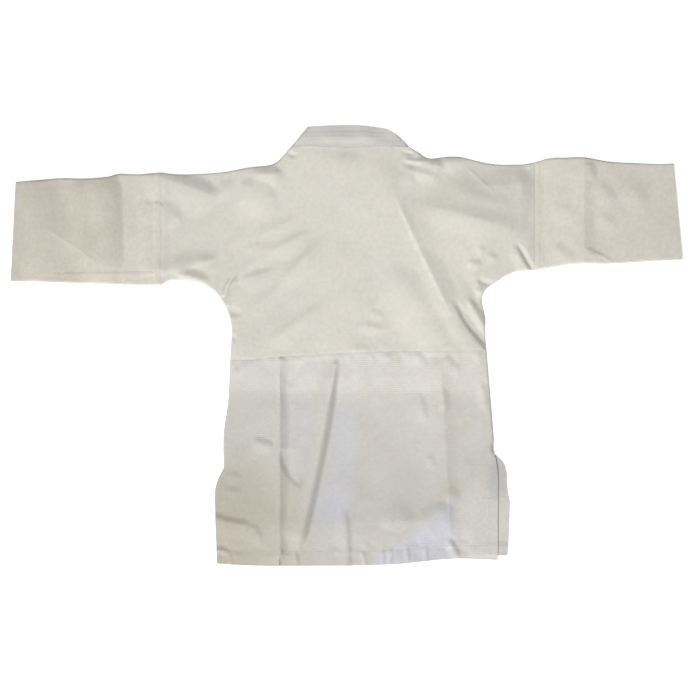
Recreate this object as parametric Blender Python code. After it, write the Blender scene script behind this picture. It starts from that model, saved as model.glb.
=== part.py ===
"""A child's judo jacket laid out flat with its back up, as the pieces that are sewn together.

The tables are in millimetres: x across the jacket, y towards the collar, and z up from the
surface that it lies on. Left and right are the wearer's, and the wearer's left is at -x.
"""

import bpy
import numpy as np
from mathutils import Vector
from mathutils.geometry import delaunay_2d_cdt

MM = 0.001
CLOTH = 1.5  # wall of the body, the skirt and the sleeves
BAND = 3.6  # the folded plies of the collar and the lapels
GAP = 0.3  # between two pieces, beside and above each other
LOOSE = 2.0  # how far the upper cloth lies above the lower, more than the gap
PRESSED = 0.3  # share of that looseness left at the cuffs and the hem
PRESSED_WIDTH = 50.0  # strip beside the cuffs and the hem where it dies out
TURN = 4.0  # radius of a folded edge, seen from above
EDGE_LEVEL = 2.65  # height at which the upper and the lower cloth meet at a folded edge
NECK_LIFT = 1.4  # that height is this much more beside the neck
NECK_NEAR, NECK_FAR = 8.0, 50.0  # whole within the first distance, nothing past the second
COLLAR_LEVEL = 3.9  # height at which the collar's layers meet at its two folds
COLLAR_REST = 2.6  # underside of the collar behind the neck
COLLAR_LIFT = 1.6  # more where its folded ends lie under it
COLLAR_NEAR, COLLAR_FAR = 40.0, 60.0  # whole up to the first distance from a fold
LAPEL = 34.0  # width of a lapel
MARGIN = 10.0  # cloth stays lifted this far past a lapel's edge
RAMP = 30.0  # and comes down over this width
STEP = 15.0  # length of an outline's chords
ON_PATH = 0.001  # a point this near to a path is on it
SEAM_LEFT = -260.4  # x of the two sleeve seams
SEAM_RIGHT = 262.5
BACK_HEM = -307.6  # y of the lowest points of the back's and of the fronts' hems
FRONT_HEM = -294.4
CUFF = 466.0  # x of the cuffs, to the left and to the right

WHITE = (0.80, 0.79, 0.74)

# Sections across a sleeve, cuff first on the left and last on the right.
SLEEVE_LEFT = (  # top x, top y, low x, low y
    (-463.4, 228.2, -470.1, 88.6),
    (-429.8, 231.0, -439.6, 88.2),
    (-397.6, 233.4, -404.6, 87.1),
    (-369.6, 232.8, -373.8, 86.1),
    (-336.0, 235.2, -338.8, 84.7),
    (-317.8, 239.7, -319.2, 84.1),
    (-292.6, 238.7, -292.6, 83.4),
    (-260.4, 241.4, -260.4, 83.2),
)
SLEEVE_RIGHT = (  # top x, top y, low x, low y
    (262.5, 255.5, 262.5, 103.9),
    (284.2, 261.4, 284.2, 107.8),
    (306.6, 262.1, 306.6, 111.2),
    (332.1, 262.5, 326.2, 113.1),
    (365.8, 256.6, 365.8, 113.1),
    (400.4, 254.5, 400.4, 115.1),
    (435.8, 253.1, 435.8, 117.2),
    (456.8, 253.7, 469.3, 119.0),
)
# The folded shoulder edges, from the sleeve seam to the collar on the left and back on the right.
SHOULDER_LEFT = (  # x, y
    (-260.4, 241.4),
    (-228.2, 238.6),
    (-175.4, 241.5),
    (-137.2, 248.5),
    (-105.8, 252.0),
    (-93.8, 260.0),
    (-79.1, 275.8),
)
SHOULDER_RIGHT = (  # x, y
    (87.5, 276.4),
    (100.2, 268.9),
    (114.2, 261.0),
    (140.1, 263.3),
    (158.2, 263.1),
    (202.6, 253.1),
    (246.8, 252.7),
    (262.5, 255.5),
)
# Underarm and side edges, from the sleeve seam down to the waist seam.
UNDERARM_LEFT = (  # x, y
    (-260.4, 83.2),
    (-250.4, 89.6),
    (-217.4, 88.6),
    (-193.8, 81.1),
    (-175.8, 63.0),
    (-162.8, 34.0),
    (-161.8, 11.1),
    (-163.8, -21.0),
)
UNDERARM_RIGHT = (  # x, y
    (262.5, 103.9),
    (230.6, 100.4),
    (202.2, 83.0),
    (190.3, 72.9),
    (188.6, 58.9),
    (193.2, 41.0),
    (193.2, 15.0),
    (195.2, -7.4),
)
# The skirt's sides, and below them the edges of the back's and of the front's vents.
SIDE_LEFT = (  # x, y
    (-163.8, -21.0),
    (-166.2, -77.0),
    (-172.6, -123.6),
    (-172.6, -172.6),
)
SIDE_RIGHT = (  # x, y
    (195.2, -7.4),
    (200.6, -72.4),
    (204.8, -123.6),
    (206.1, -151.6),
)
BACK_VENT_LEFT = (  # x, y
    (-172.6, -172.6),
    (-181.3, -190.4),
    (-183.7, -203.0),
    (-183.7, -226.4),
    (-181.3, -304.9),
)
BACK_VENT_RIGHT = (  # x, y
    (206.1, -151.6),
    (208.3, -163.4),
    (210.7, -182.0),
    (210.7, -245.0),
    (210.7, -300.6),
)
FRONT_VENT_LEFT = (  # x, y
    (-172.6, -172.6),
    (-174.0, -200.0),
    (-174.0, FRONT_HEM),
)
FRONT_VENT_RIGHT = (  # x, y
    (206.1, -151.6),
    (221.2, -168.0),
    (224.7, -203.0),
    (227.8, -217.0),
    (225.8, -277.6),
    (224.0, FRONT_HEM),
)
HEM = (  # x, y
    (-181.3, -304.9),
    (-128.8, BACK_HEM),
    (6.6, BACK_HEM),
    (74.2, -305.2),
    (146.6, -298.2),
    (210.7, -300.6),
)
WAIST = (  # x, y
    (-163.8, -21.0),
    (-126.4, -20.6),
    (-93.8, -16.4),
    (-35.4, -13.6),
    (11.2, -10.5),
    (57.8, -9.4),
    (195.2, -7.4),
)
COLLAR_TOP = (  # x, y
    (-54.7, 305.1),
    (-1.8, 307.6),
    (28.1, 306.0),
    (56.1, 301.6),
    (70.1, 294.0),
)
COLLAR_SEAM = (  # x, y
    (-79.1, 275.8),
    (-51.8, 277.8),
    (-1.8, 275.9),
    (44.2, 277.2),
    (87.5, 276.4),
)
COLLAR_FOLD_LEFT = (  # x, y
    (-54.7, 305.1),
    (-67.0, 290.6),
    (-79.1, 275.8),
)
COLLAR_FOLD_RIGHT = (  # x, y
    (70.1, 294.0),
    (78.4, 286.3),
    (87.5, 276.4),
)
# Sections across a lapel, from the collar's fold down to its lower end. The collar ends at
# the second one.
LAPEL_LEFT = (  # free edge x, y, seam x, y
    (-54.7, 305.1, -79.1, 275.8),
    (-19.6, 273.0, -42.7, 249.2),
    (4.2, 257.6, -16.8, 231.0),
    (33.6, 233.8, 11.2, 208.6),
    (64.4, 203.0, 37.1, 183.4),
    (91.0, 161.0, 61.6, 145.6),
    (117.6, 107.8, 86.8, 95.2),
    (140.0, 54.6, 107.8, 44.8),
    (155.4, 0.0, 123.2, -5.6),
    (166.6, -56.0, 133.7, -60.2),
    (173.6, -119.0, 140.3, -121.1),
    (176.4, -205.8, 142.8, -205.8),
)
LAPEL_RIGHT = (  # free edge x, y, seam x, y
    (70.1, 294.0, 87.5, 276.4),
    (67.2, 273.0, 88.2, 263.2),
    (63.7, 252.0, 93.1, 246.4),
    (58.8, 231.0, 92.4, 225.4),
    (50.4, 193.2, 84.0, 186.2),
    (39.2, 147.0, 72.1, 140.0),
    (25.2, 91.0, 57.4, 82.6),
    (9.8, 37.8, 42.0, 28.0),
    (-7.0, -14.0, 25.2, -23.8),
    (-23.8, -77.0, 9.1, -85.4),
    (-40.6, -147.0, -7.7, -155.4),
    (-53.2, -201.6, -20.3, -208.6),
)
LAPEL_FOOT_LEFT = (178.0, FRONT_HEM)  # where each front's free edge reaches its hem
LAPEL_FOOT_RIGHT = (-72.0, FRONT_HEM)

# Soft ridges and troughs of the upper cloth: from one end to the other, half the width, and
# the height, which is negative for a trough.
BODY_FOLDS = (  # x, y, x, y, half width, height
    (-252.0, 238.0, -175.0, 210.0, 18.0, -1.4),
    (-240.8, 113.4, -194.6, 91.0, 16.0, 2.6),
    (-152.6, 91.0, -169.4, 54.6, 13.0, -1.4),
    (-85.4, 95.2, -47.6, 134.4, 16.0, 2.6),
    (-93.8, 15.4, -43.4, 54.6, 16.0, 2.6),
    (-135.0, 233.0, -92.0, 250.0, 15.0, 2.8),
    (64.4, 210.0, 92.4, 161.0, 16.0, 2.2),
    (92.4, 161.0, 142.8, 47.6, 16.0, 2.6),
    (116.2, 184.8, 238.0, 156.8, 18.0, 3.0),
    (160.0, 51.0, 190.0, 8.0, 13.0, -1.4),
    (238.0, 151.2, 258.0, 112.0, 15.0, 2.2),
    (-5.6, 0.0, 43.4, 0.0, 11.0, 1.8),
)
SKIRT_FOLDS = (  # x, y, x, y, half width, height
    (-14.0, -40.0, -32.0, -140.0, 16.0, 2.6),
    (-32.0, -140.0, -66.0, -275.0, 16.0, 2.6),
    (-93.8, -35.0, -93.8, -270.0, 12.0, 1.6),
    (134.4, -25.0, 134.4, -270.0, 12.0, 1.6),
    (60.0, -275.0, 128.0, -236.0, 20.0, 2.6),
    (-172.0, -236.0, -124.0, -252.0, 14.0, -1.2),
)
SLEEVE_FOLDS = (  # x, y, x, y, half width, height
    (-314.3, 225.0, -314.3, 100.0, 14.0, 2.0),
    (-422.8, 168.0, -394.8, 147.0, 18.0, 2.2),
    (330.4, 245.0, 330.4, 130.0, 14.0, 2.0),
    (312.2, 133.0, 372.4, 124.0, 12.0, 1.6),
)


def curve(rows, step=STEP):
    """Points at even distances of about one step on a smooth curve through the rows."""
    rows = np.array(rows, float)
    ends = np.vstack([2 * rows[0] - rows[1], rows, 2 * rows[-1] - rows[-2]])
    t = np.linspace(0, 1, 12, endpoint=False)[:, None]
    dense = []
    for a, b, c, d in zip(ends, ends[1:], ends[2:], ends[3:]):
        slope = (c - a) * t + (2 * a - 5 * b + 4 * c - d) * t**2
        dense.append(b + 0.5 * (slope + (3 * b - a - 3 * c + d) * t**3))
    dense = np.vstack(dense + [rows[-1:]])
    along = np.r_[0, np.cumsum(np.linalg.norm(np.diff(dense, axis=0), axis=1))]
    at = np.linspace(0, along[-1], max(1, round(along[-1] / step)) + 1)
    return np.column_stack([np.interp(at, along, dense[:, 0]), np.interp(at, along, dense[:, 1])])


def line(start, end):
    """A straight path in chords of about one step."""
    return curve((start, end))


def moved(path, dx=0.0, dy=0.0):
    return path + np.array((dx, dy))


def cut(path, a, b):
    """The parts of a path before and after it first crosses the straight line through a and b."""
    across = np.array((b[1] - a[1], a[0] - b[0]))
    height = (path - np.array(a)) @ across
    i = int(np.flatnonzero(height[:-1] * height[1:] <= 0)[0])
    crossing = path[i] + (path[i + 1] - path[i]) * height[i] / (height[i] - height[i + 1])
    return np.vstack([path[: i + 1], crossing]), np.vstack([crossing, path[i + 1 :]])


def nearest(points, paths):
    """Each point's distance to the paths, and the direction from it to the nearest of them."""
    a = np.vstack([p[:-1] for p in paths])
    ab = np.vstack([p[1:] for p in paths]) - a
    along = ((points[:, None] - a) * ab).sum(2) / (ab**2).sum(1)
    offset = a + np.clip(along, 0, 1)[..., None] * ab - points[:, None]
    lengths = np.linalg.norm(offset, axis=2)
    rows = np.arange(len(points))
    first = lengths.argmin(1)
    distance = lengths[rows, first]
    toward = offset[rows, first] / np.maximum(distance, 1e-9)[:, None]
    outward = np.column_stack([ab[:, 1], -ab[:, 0]]) / np.linalg.norm(ab, axis=1)[:, None]
    for i in np.flatnonzero(distance < ON_PATH):
        normal = outward[lengths[i] < ON_PATH].sum(0)
        toward[i] = normal / np.linalg.norm(normal)
        distance[i] = 0.0
    return distance, toward


def inside(points, outline):
    """Which of the points lie inside a closed outline."""
    a, b = outline, np.roll(outline, -1, axis=0)
    x, y = points[:, :1], points[:, 1:]
    spans = (a[:, 1] > y) != (b[:, 1] > y)
    height = np.where(a[:, 1] == b[:, 1], 1.0, b[:, 1] - a[:, 1])
    crossing = a[:, 0] + (y - a[:, 1]) * (b[:, 0] - a[:, 0]) / height
    return (spans & (x < crossing)).sum(1) % 2 == 1


def rise(value, start, end):
    """A smooth step from 0 at start to 1 at end."""
    t = np.clip((value - start) / (end - start), 0, 1)
    return t * t * (3 - 2 * t)


def onto(points, free_edge, cloth_side):
    """Signed distance to a front's free edge, positive on the side where its cloth is."""
    distance, _ = nearest(points, [free_edge])
    edge_x = np.interp(points[:, 1], free_edge[::-1, 1], free_edge[::-1, 0])
    return distance * np.sign((points[:, 0] - edge_x) * cloth_side + 1e-9)


LEFT = np.array(LAPEL_LEFT)
RIGHT = np.array(LAPEL_RIGHT)
FREE_LEFT = curve(np.vstack([LEFT[:, :2], LAPEL_FOOT_LEFT]))
FREE_RIGHT = curve(np.vstack([RIGHT[:, :2], LAPEL_FOOT_RIGHT]))
INNER_LEFT = curve(LEFT[:, 2:])
INNER_RIGHT = curve(RIGHT[:, 2:])


def covered(points, free_edge, cloth_side, lapel_end):
    """How far (0 to 1) cloth above a front and above its lapel has to be lifted."""
    depth = onto(points, free_edge, cloth_side)
    front = rise(depth, -MARGIN - RAMP, -MARGIN)
    across = 1 - rise(depth, LAPEL + MARGIN, LAPEL + MARGIN + RAMP)
    lapel = front * across * rise(points[:, 1], lapel_end - MARGIN - RAMP, lapel_end - MARGIN)
    return front, lapel


def on_floor(points):
    return np.zeros(len(points))


def on_left_front(points):
    """Underside of the right front, which lies on the left front and its lapel."""
    front, lapel = covered(points, FREE_LEFT, -1, LEFT[-1, 1])
    return front * (CLOTH + GAP) + lapel * (BAND - CLOTH)


def on_fronts(points):
    """Underside of the back and of the sleeves' upper cloth."""
    left, left_lapel = covered(points, FREE_LEFT, -1, LEFT[-1, 1])
    right, right_lapel = covered(points, FREE_RIGHT, 1, RIGHT[-1, 1])
    hem = rise(points[:, 1], BACK_HEM, BACK_HEM + PRESSED_WIDTH)
    cuff = 1 - rise(abs(points[:, 0]), CUFF - PRESSED_WIDTH, CUFF)
    loose = LOOSE * (PRESSED + (1 - PRESSED) * hem * cuff)
    lapels = (BAND - CLOTH) * (left_lapel + right_lapel)
    return (CLOTH + GAP) * (1 + left * right) + loose + lapels


def edge_level(points):
    """Height at which the two layers meet at a folded edge, higher beside the neck."""
    necks = np.array((SHOULDER_LEFT[-1], SHOULDER_RIGHT[0]))
    distance = np.linalg.norm(points[:, None] - necks, axis=2).min(1)
    return EDGE_LEVEL + NECK_LIFT * (1 - rise(distance, NECK_NEAR, NECK_FAR))


def above_level(points):
    return edge_level(points) + GAP / 2


def below_level(points):
    return edge_level(points) - GAP / 2


def collar_level(points):
    return np.full(len(points), COLLAR_LEVEL)


def on_collar_ends(points):
    """Underside of the collar behind the neck, higher where its folded ends lie under it."""
    distance, _ = nearest(points, [curve(COLLAR_FOLD_LEFT), curve(COLLAR_FOLD_RIGHT)])
    return COLLAR_REST + COLLAR_LIFT * (1 - rise(distance, COLLAR_NEAR, COLLAR_FAR))


def folded(points, rows):
    """Height of the soft ridges and troughs."""
    height = np.zeros(len(points))
    for x0, y0, x1, y1, width, rise_mm in rows:
        distance, _ = nearest(points, [np.array(((x0, y0), (x1, y1)))])
        height += rise_mm * np.clip(1 - (distance / width) ** 2, 0, 1) ** 2
    return height


def fold_points(rows):
    """Places that a mesh needs to follow the ridges and troughs."""
    found = []
    for x0, y0, x1, y1, width, _ in rows:
        start, end = np.array((x0, y0)), np.array((x1, y1))
        length = np.linalg.norm(end - start)
        ahead = (end - start) / length
        beside = np.array((-ahead[1], ahead[0])) * width
        for at in np.linspace(0, length, max(1, round(length / (1.3 * width))) + 1):
            for share in (0, -0.55, 0.55, -1, 1):
                found.append(start + ahead * at + beside * share)
        found += [start - ahead * width, end + ahead * width]
    return np.array(found).reshape(-1, 2)


TURN_ROWS = TURN * (1 - np.sin(np.radians((60, 30, 0))))  # distances from a folded edge


def outline_of(edges):
    """Closes the edges to one outline, with close points where a plain edge meets a folded one."""
    paths = [path.copy() for _, path in edges]
    plain = [kind == "end" for kind, _ in edges]
    for i, path in enumerate(paths):
        before, after = i - 1, (i + 1) % len(paths)
        if not plain[i]:
            path[0] = paths[before][-1] if plain[before] else path[0]
            path[-1] = paths[after][0] if plain[after] else path[-1]
    for i, path in enumerate(paths):
        if plain[i]:
            for neighbour in (i - 1, (i + 1) % len(paths)):
                if not plain[neighbour]:
                    first = neighbour == i - 1
                    route = paths[i] if first else paths[i][::-1]
                    folded_edge = paths[neighbour] if not first else paths[neighbour][::-1]
                    route = close_points(route, folded_edge)
                    paths[i] = route if first else route[::-1]
    return paths, np.vstack([path[:-1] for path in paths])


def close_points(route, folded_edge):
    """The route with points at the turn's distances after its first point."""
    ahead = route[1] - route[0]
    ahead /= np.linalg.norm(ahead)
    along = folded_edge[1] - folded_edge[0]
    sine = abs(ahead[0] * along[1] - ahead[1] * along[0]) / np.linalg.norm(along)
    reach = TURN_ROWS / max(sine, 0.5)
    far = np.linalg.norm(route - route[0], axis=1) > reach[-1] + 3
    far[-1] = True
    return np.vstack([route[:1], route[0] + reach[:, None] * ahead, route[far]])


def spread(outline, turned, rows, spacing, marks):
    """Points inside an outline: rows beside folded edges, the marks, the folds, and a grid."""
    points = [outline]
    for path in turned:
        _, outward = nearest(path[1:-1], [path])
        for reach in TURN_ROWS:
            row = path[1:-1] - outward * reach
            distance, _ = nearest(row, turned)
            points.append(row[(distance > reach - 0.05) & inside(row, outline)])
    x = np.arange(outline[:, 0].min(), outline[:, 0].max(), spacing)
    y = np.arange(outline[:, 1].min(), outline[:, 1].max(), spacing * 0.866)
    grid = np.array([(u + (j % 2) * spacing / 2, v) for j, v in enumerate(y) for u in x])
    whole = [np.vstack([outline, outline[:1]])]
    for candidates, apart in ((marks, 7.0), (fold_points(rows), 7.0), (grid, 0.62 * spacing)):
        if len(candidates) == 0:
            continue
        edge_distance, _ = nearest(candidates, whole)
        keep = inside(candidates, outline) & (edge_distance > 0.55 * apart)
        if turned:
            keep &= nearest(candidates, turned)[0] > TURN + 0.45 * apart
        for point in candidates[keep]:
            taken = np.vstack(points)
            if np.linalg.norm(taken - point, axis=1).min() > apart * 0.8:
                points.append(point[None])
    return np.vstack(points)


def panel(
    edges,
    underside,
    thick=CLOTH,
    rows=(),
    spacing=24.0,
    upper=True,
    level=edge_level,
    guides=(),
    marks=(),
):
    """One layer of cloth: its two faces, and the faces round its edges.

    The edges go round against the clock. An edge is a plain "end", or it turns down (up, on
    the lower layer) to the level: "seam" ends there and "turn" goes on in the other layer.
    Where a turned edge meets a plain one, the inner face keeps to the plain edge's line, or
    to the nearest of the guides. The marks are points that its mesh has to have.
    """
    paths, outline = outline_of(edges)
    turned = [path for path, (kind, _) in zip(paths, edges) if kind != "end"]
    welded = [path for path, (kind, _) in zip(paths, edges) if kind == "turn"]
    plain = [path for path, (kind, _) in zip(paths, edges) if kind == "end"]
    points = spread(outline, turned, rows, spacing, marks)
    loop = [list(range(len(outline)))]
    found = delaunay_2d_cdt([Vector(p) for p in points], [], loop, 1, 1e-6)
    points = np.array([tuple(v) for v in found[0]])
    faces = [tuple(f) for f in found[2]]
    area = [np.cross(points[f[1]] - points[f[0]], points[f[2]] - points[f[0]]) for f in faces]
    faces = [f if a > 0 else f[::-1] for f, a in zip(faces, area)]

    sine, toward = np.zeros(len(points)), np.zeros((len(points), 2))
    if turned:
        distance, toward = nearest(points, turned)
        sine = np.clip(1 - distance / TURN, 0, 1)
    inward = -toward * (sine * thick)[:, None]
    end_distance, end_normal = nearest(points, plain)
    at_end = end_distance < ON_PATH
    if guides:
        guide_distance, guide_normal = nearest(points, guides)
        end_normal[guide_distance < ON_PATH] = guide_normal[guide_distance < ON_PATH]
    tangent = np.column_stack([-end_normal[:, 1], end_normal[:, 0]])
    share = (inward * tangent).sum(1)
    across = at_end & (abs(share) > 0.5 * np.linalg.norm(inward, axis=1))
    inward[across] = (tangent * share[:, None])[across]
    low = underside(points) + folded(points, rows)
    cosine = np.sqrt(1 - sine**2)
    meeting = level(points)
    low_z = meeting + (low - meeting) * cosine
    high_z = meeting + (low + thick - meeting) * cosine
    outer, inner = points, points + inward
    top = np.column_stack([outer if upper else inner, high_z])
    bottom = np.column_stack([inner if upper else outer, low_z])

    count = len(points)
    solid = [f for f in faces] + [tuple(v + count for v in f[::-1]) for f in faces]
    directed = {(f[i], f[(i + 1) % 3]) for f in faces for i in range(3)}
    on_weld = nearest(points, welded)[0] < ON_PATH if welded else np.zeros(count, bool)
    for a, b in sorted(directed):
        if (b, a) not in directed and not (on_weld[a] and on_weld[b]):
            solid.append((a + count, b + count, b, a))
    return np.vstack([top, bottom]), solid


def piece(name, colour, *layers):
    """One closed body from one layer, or from layers that are joined where they turn."""
    places, points, faces = {}, [], []
    for layer_points, layer_faces in layers:
        index = []
        for point in layer_points:
            key = tuple(np.round(point, 3))
            if key not in places:
                places[key] = len(points)
                points.append(point * MM)
            index.append(places[key])
        faces += [tuple(index[v] for v in face) for face in layer_faces]
    mesh = bpy.data.meshes.new(name)
    mesh.from_pydata([tuple(p) for p in points], [], faces)
    mesh.validate()
    mesh.shade_smooth()
    mesh.set_sharp_from_angle(angle=np.radians(50))
    material = bpy.data.materials.new(name)
    material.use_nodes = True
    shader = material.node_tree.nodes["Principled BSDF"]
    shader.inputs["Base Color"].default_value = (*colour, 1)
    shader.inputs["Roughness"].default_value = 0.9
    mesh.materials.append(material)
    item = bpy.data.objects.new(name, mesh)
    bpy.context.scene.collection.objects.link(item)
    return item


for old in list(bpy.data.objects):
    bpy.data.objects.remove(old, do_unlink=True)

HALF = GAP / 2
shoulder_left = curve(SHOULDER_LEFT)
shoulder_right = curve(SHOULDER_RIGHT)
underarm_left = curve(UNDERARM_LEFT)
underarm_right = curve(UNDERARM_RIGHT)
side_left = curve(SIDE_LEFT)
side_right = curve(SIDE_RIGHT)
waist = curve(WAIST)
collar_seam = curve(COLLAR_SEAM)


def sleeve_seam(x, shoulder, underarm):
    """The seam line from the shoulder's edge down to the underarm's."""
    return line((x, shoulder[1]), (x, underarm[1]))


# The back of the body: one layer from sleeve seam to sleeve seam, between collar and waist.
body_seam_left = sleeve_seam(SEAM_LEFT + HALF, SHOULDER_LEFT[0], UNDERARM_LEFT[0])
body_seam_right = sleeve_seam(SEAM_RIGHT - HALF, SHOULDER_RIGHT[-1], UNDERARM_RIGHT[0])[::-1]
back_body = [
    ("seam", underarm_left),
    ("end", moved(waist, dy=HALF)),
    ("seam", underarm_right[::-1]),
    ("end", body_seam_right),
    ("seam", shoulder_right[::-1]),
    ("end", moved(collar_seam[::-1], dy=-HALF)),
    ("seam", shoulder_left[::-1]),
    ("end", body_seam_left),
]
piece("back_body", WHITE, panel(back_body, on_fronts, rows=BODY_FOLDS, level=above_level))

# The back of the skirt, sewn to the fronts down to the vents.
back_skirt = [
    ("seam", side_left),
    ("end", curve(BACK_VENT_LEFT)),
    ("end", curve(HEM)),
    ("end", curve(BACK_VENT_RIGHT)[::-1]),
    ("seam", side_right[::-1]),
    ("end", moved(waist[::-1], dy=-HALF)),
]
piece("back_skirt", WHITE, panel(back_skirt, on_fronts, rows=SKIRT_FOLDS, level=above_level))

# The fronts, flat under the back. Each ends at its lapel, and below the lapel at its own hem.
SEAM_SHIFT = 0.45
waist_ends = (WAIST[0], WAIST[-1])
body_edge_left, skirt_edge_left = cut(moved(INNER_LEFT, dx=-SEAM_SHIFT), *waist_ends)
body_edge_right, skirt_edge_right = cut(moved(INNER_RIGHT, dx=SEAM_SHIFT), *waist_ends)
front_waist_left = line(WAIST[0], body_edge_left[-1])
front_waist_right = line(body_edge_right[-1], WAIST[-1])
front_left_body = [
    ("seam", underarm_left),
    ("end", moved(front_waist_left, dy=HALF)),
    ("end", body_edge_left[::-1]),
    ("seam", shoulder_left[::-1]),
    ("end", body_seam_left),
]
front_right_body = [
    ("end", body_edge_right),
    ("end", moved(front_waist_right, dy=HALF)),
    ("seam", underarm_right[::-1]),
    ("end", body_seam_right),
    ("seam", shoulder_right[::-1]),
]


def hem_edge(free_edge, lapel_end):
    """A front's free edge below its lapel."""
    level = lapel_end[1] - GAP
    return cut(free_edge, (0.0, level), (1.0, level))[1]


free_skirt_left = hem_edge(FREE_LEFT, LEFT[-1])
free_skirt_right = hem_edge(FREE_RIGHT, RIGHT[-1])
front_left_skirt = [
    ("seam", side_left),
    ("end", curve(FRONT_VENT_LEFT)),
    ("end", line(FRONT_VENT_LEFT[-1], free_skirt_left[-1])),
    ("end", free_skirt_left[::-1]),
    ("end", line(free_skirt_left[0], moved(skirt_edge_left, dy=-GAP)[-1])),
    ("end", skirt_edge_left[::-1]),
    ("end", moved(front_waist_left[::-1], dy=-HALF)),
]
front_right_skirt = [
    ("end", skirt_edge_right),
    ("end", line(moved(skirt_edge_right, dy=-GAP)[-1], free_skirt_right[0])),
    ("end", free_skirt_right),
    ("end", line(free_skirt_right[-1], FRONT_VENT_RIGHT[-1])),
    ("end", curve(FRONT_VENT_RIGHT)[::-1]),
    ("seam", side_right[::-1]),
    ("end", moved(front_waist_right[::-1], dy=-HALF)),
]
past_free_edge = np.vstack([moved(FREE_LEFT, dx=2.0), moved(FREE_LEFT, dx=14.0)])
on_top = {"spacing": 28.0, "marks": past_free_edge}
for name, edges, underside, mesh in (
    ("front_left_body", front_left_body, on_floor, {"spacing": 60.0}),
    ("front_left_skirt", front_left_skirt, on_floor, {"spacing": 60.0}),
    ("front_right_body", front_right_body, on_left_front, on_top),
    ("front_right_skirt", front_right_skirt, on_left_front, on_top),
):
    piece(name, WHITE, panel(edges, underside, upper=False, level=below_level, **mesh))

# The lapels: bands of folded plies along the fronts' free edges.
lapel_start_left = (LEFT[1, 2:], LEFT[1, :2])
lapel_start_right = (RIGHT[1, :2], RIGHT[1, 2:])
collar_free_left, lapel_free_left = cut(FREE_LEFT, *lapel_start_left)
collar_inner_left, lapel_inner_left = cut(INNER_LEFT, *lapel_start_left)
collar_free_right, lapel_free_right = cut(FREE_RIGHT, *lapel_start_right)
collar_inner_right, lapel_inner_right = cut(INNER_RIGHT, *lapel_start_right)
lapel_free_left, _ = cut(lapel_free_left, (0.0, LEFT[-1, 1]), (1.0, LEFT[-1, 1]))
lapel_free_right, _ = cut(lapel_free_right, (0.0, RIGHT[-1, 1]), (1.0, RIGHT[-1, 1]))
left_lapel = [
    ("end", lapel_inner_left),
    ("end", line(lapel_inner_left[-1], lapel_free_left[-1])),
    ("end", lapel_free_left[::-1]),
    ("end", line(lapel_free_left[0], lapel_inner_left[0])),
]
right_lapel = [
    ("end", lapel_free_right),
    ("end", line(lapel_free_right[-1], lapel_inner_right[-1])),
    ("end", lapel_inner_right[::-1]),
    ("end", line(lapel_inner_right[0], lapel_free_right[0])),
]
piece("lapel_left", WHITE, panel(left_lapel, on_floor, thick=BAND, spacing=40.0))
piece("lapel_right", WHITE, panel(right_lapel, on_left_front, thick=BAND, spacing=20.0))

# The collar: behind the neck, turned under at each side to a short end at the lapel.
fold_left = curve(COLLAR_FOLD_LEFT)
fold_right = curve(COLLAR_FOLD_RIGHT)
apart_left = np.array((-GAP, GAP)) / np.sqrt(2)
collar_top = curve(COLLAR_TOP)
collar_low = moved(collar_seam, dy=HALF)
collar_inner_left[0] = collar_low[0]
collar_inner_right[0] = collar_low[-1]
collar_behind = [
    ("turn", fold_left),
    ("end", collar_low),
    ("turn", fold_right[::-1]),
    ("end", collar_top[::-1]),
]
collar_end_left = [
    ("turn", fold_left),
    ("end", collar_inner_left),
    ("end", line(collar_inner_left[-1], collar_free_left[-1]) + apart_left),
    ("end", collar_free_left[::-1]),
]
collar_end_right = [
    ("end", collar_free_right),
    ("end", moved(line(collar_free_right[-1], collar_inner_right[-1]), dy=GAP)),
    ("end", collar_inner_right[::-1]),
    ("turn", fold_right[::-1]),
]
under = {"thick": BAND, "upper": False, "level": collar_level, "guides": (collar_low, collar_top)}
piece(
    "collar",
    WHITE,
    panel(collar_behind, on_collar_ends, thick=BAND, level=collar_level),
    panel(collar_end_left, on_floor, **under),
    panel(collar_end_right, on_floor, **under),
)

# The sleeves: flattened tubes, open at the cuff and at the seam.
for name, sections, seam in (
    ("sleeve_left", SLEEVE_LEFT, SEAM_LEFT - HALF),
    ("sleeve_right", SLEEVE_RIGHT, SEAM_RIGHT + HALF),
):
    table = np.array(sections)
    top_edge, low_edge = curve(table[:, :2]), curve(table[:, 2:])
    first, last = line(top_edge[0], low_edge[0]), line(low_edge[-1], top_edge[-1])
    seam_end = last if seam < 0 else first
    seam_end[:, 0] = seam
    tube = [("end", first), ("turn", low_edge), ("end", last), ("turn", top_edge[::-1])]
    piece(
        name,
        WHITE,
        panel(tube, on_fronts, rows=SLEEVE_FOLDS),
        panel(tube, on_floor, spacing=60.0, upper=False),
    )
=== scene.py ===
import bmesh
import bpy
import numpy as np
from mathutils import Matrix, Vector
from mathutils.bvhtree import BVHTree
from mathutils.geometry import delaunay_2d_cdt
from mathutils.kdtree import KDTree


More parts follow.
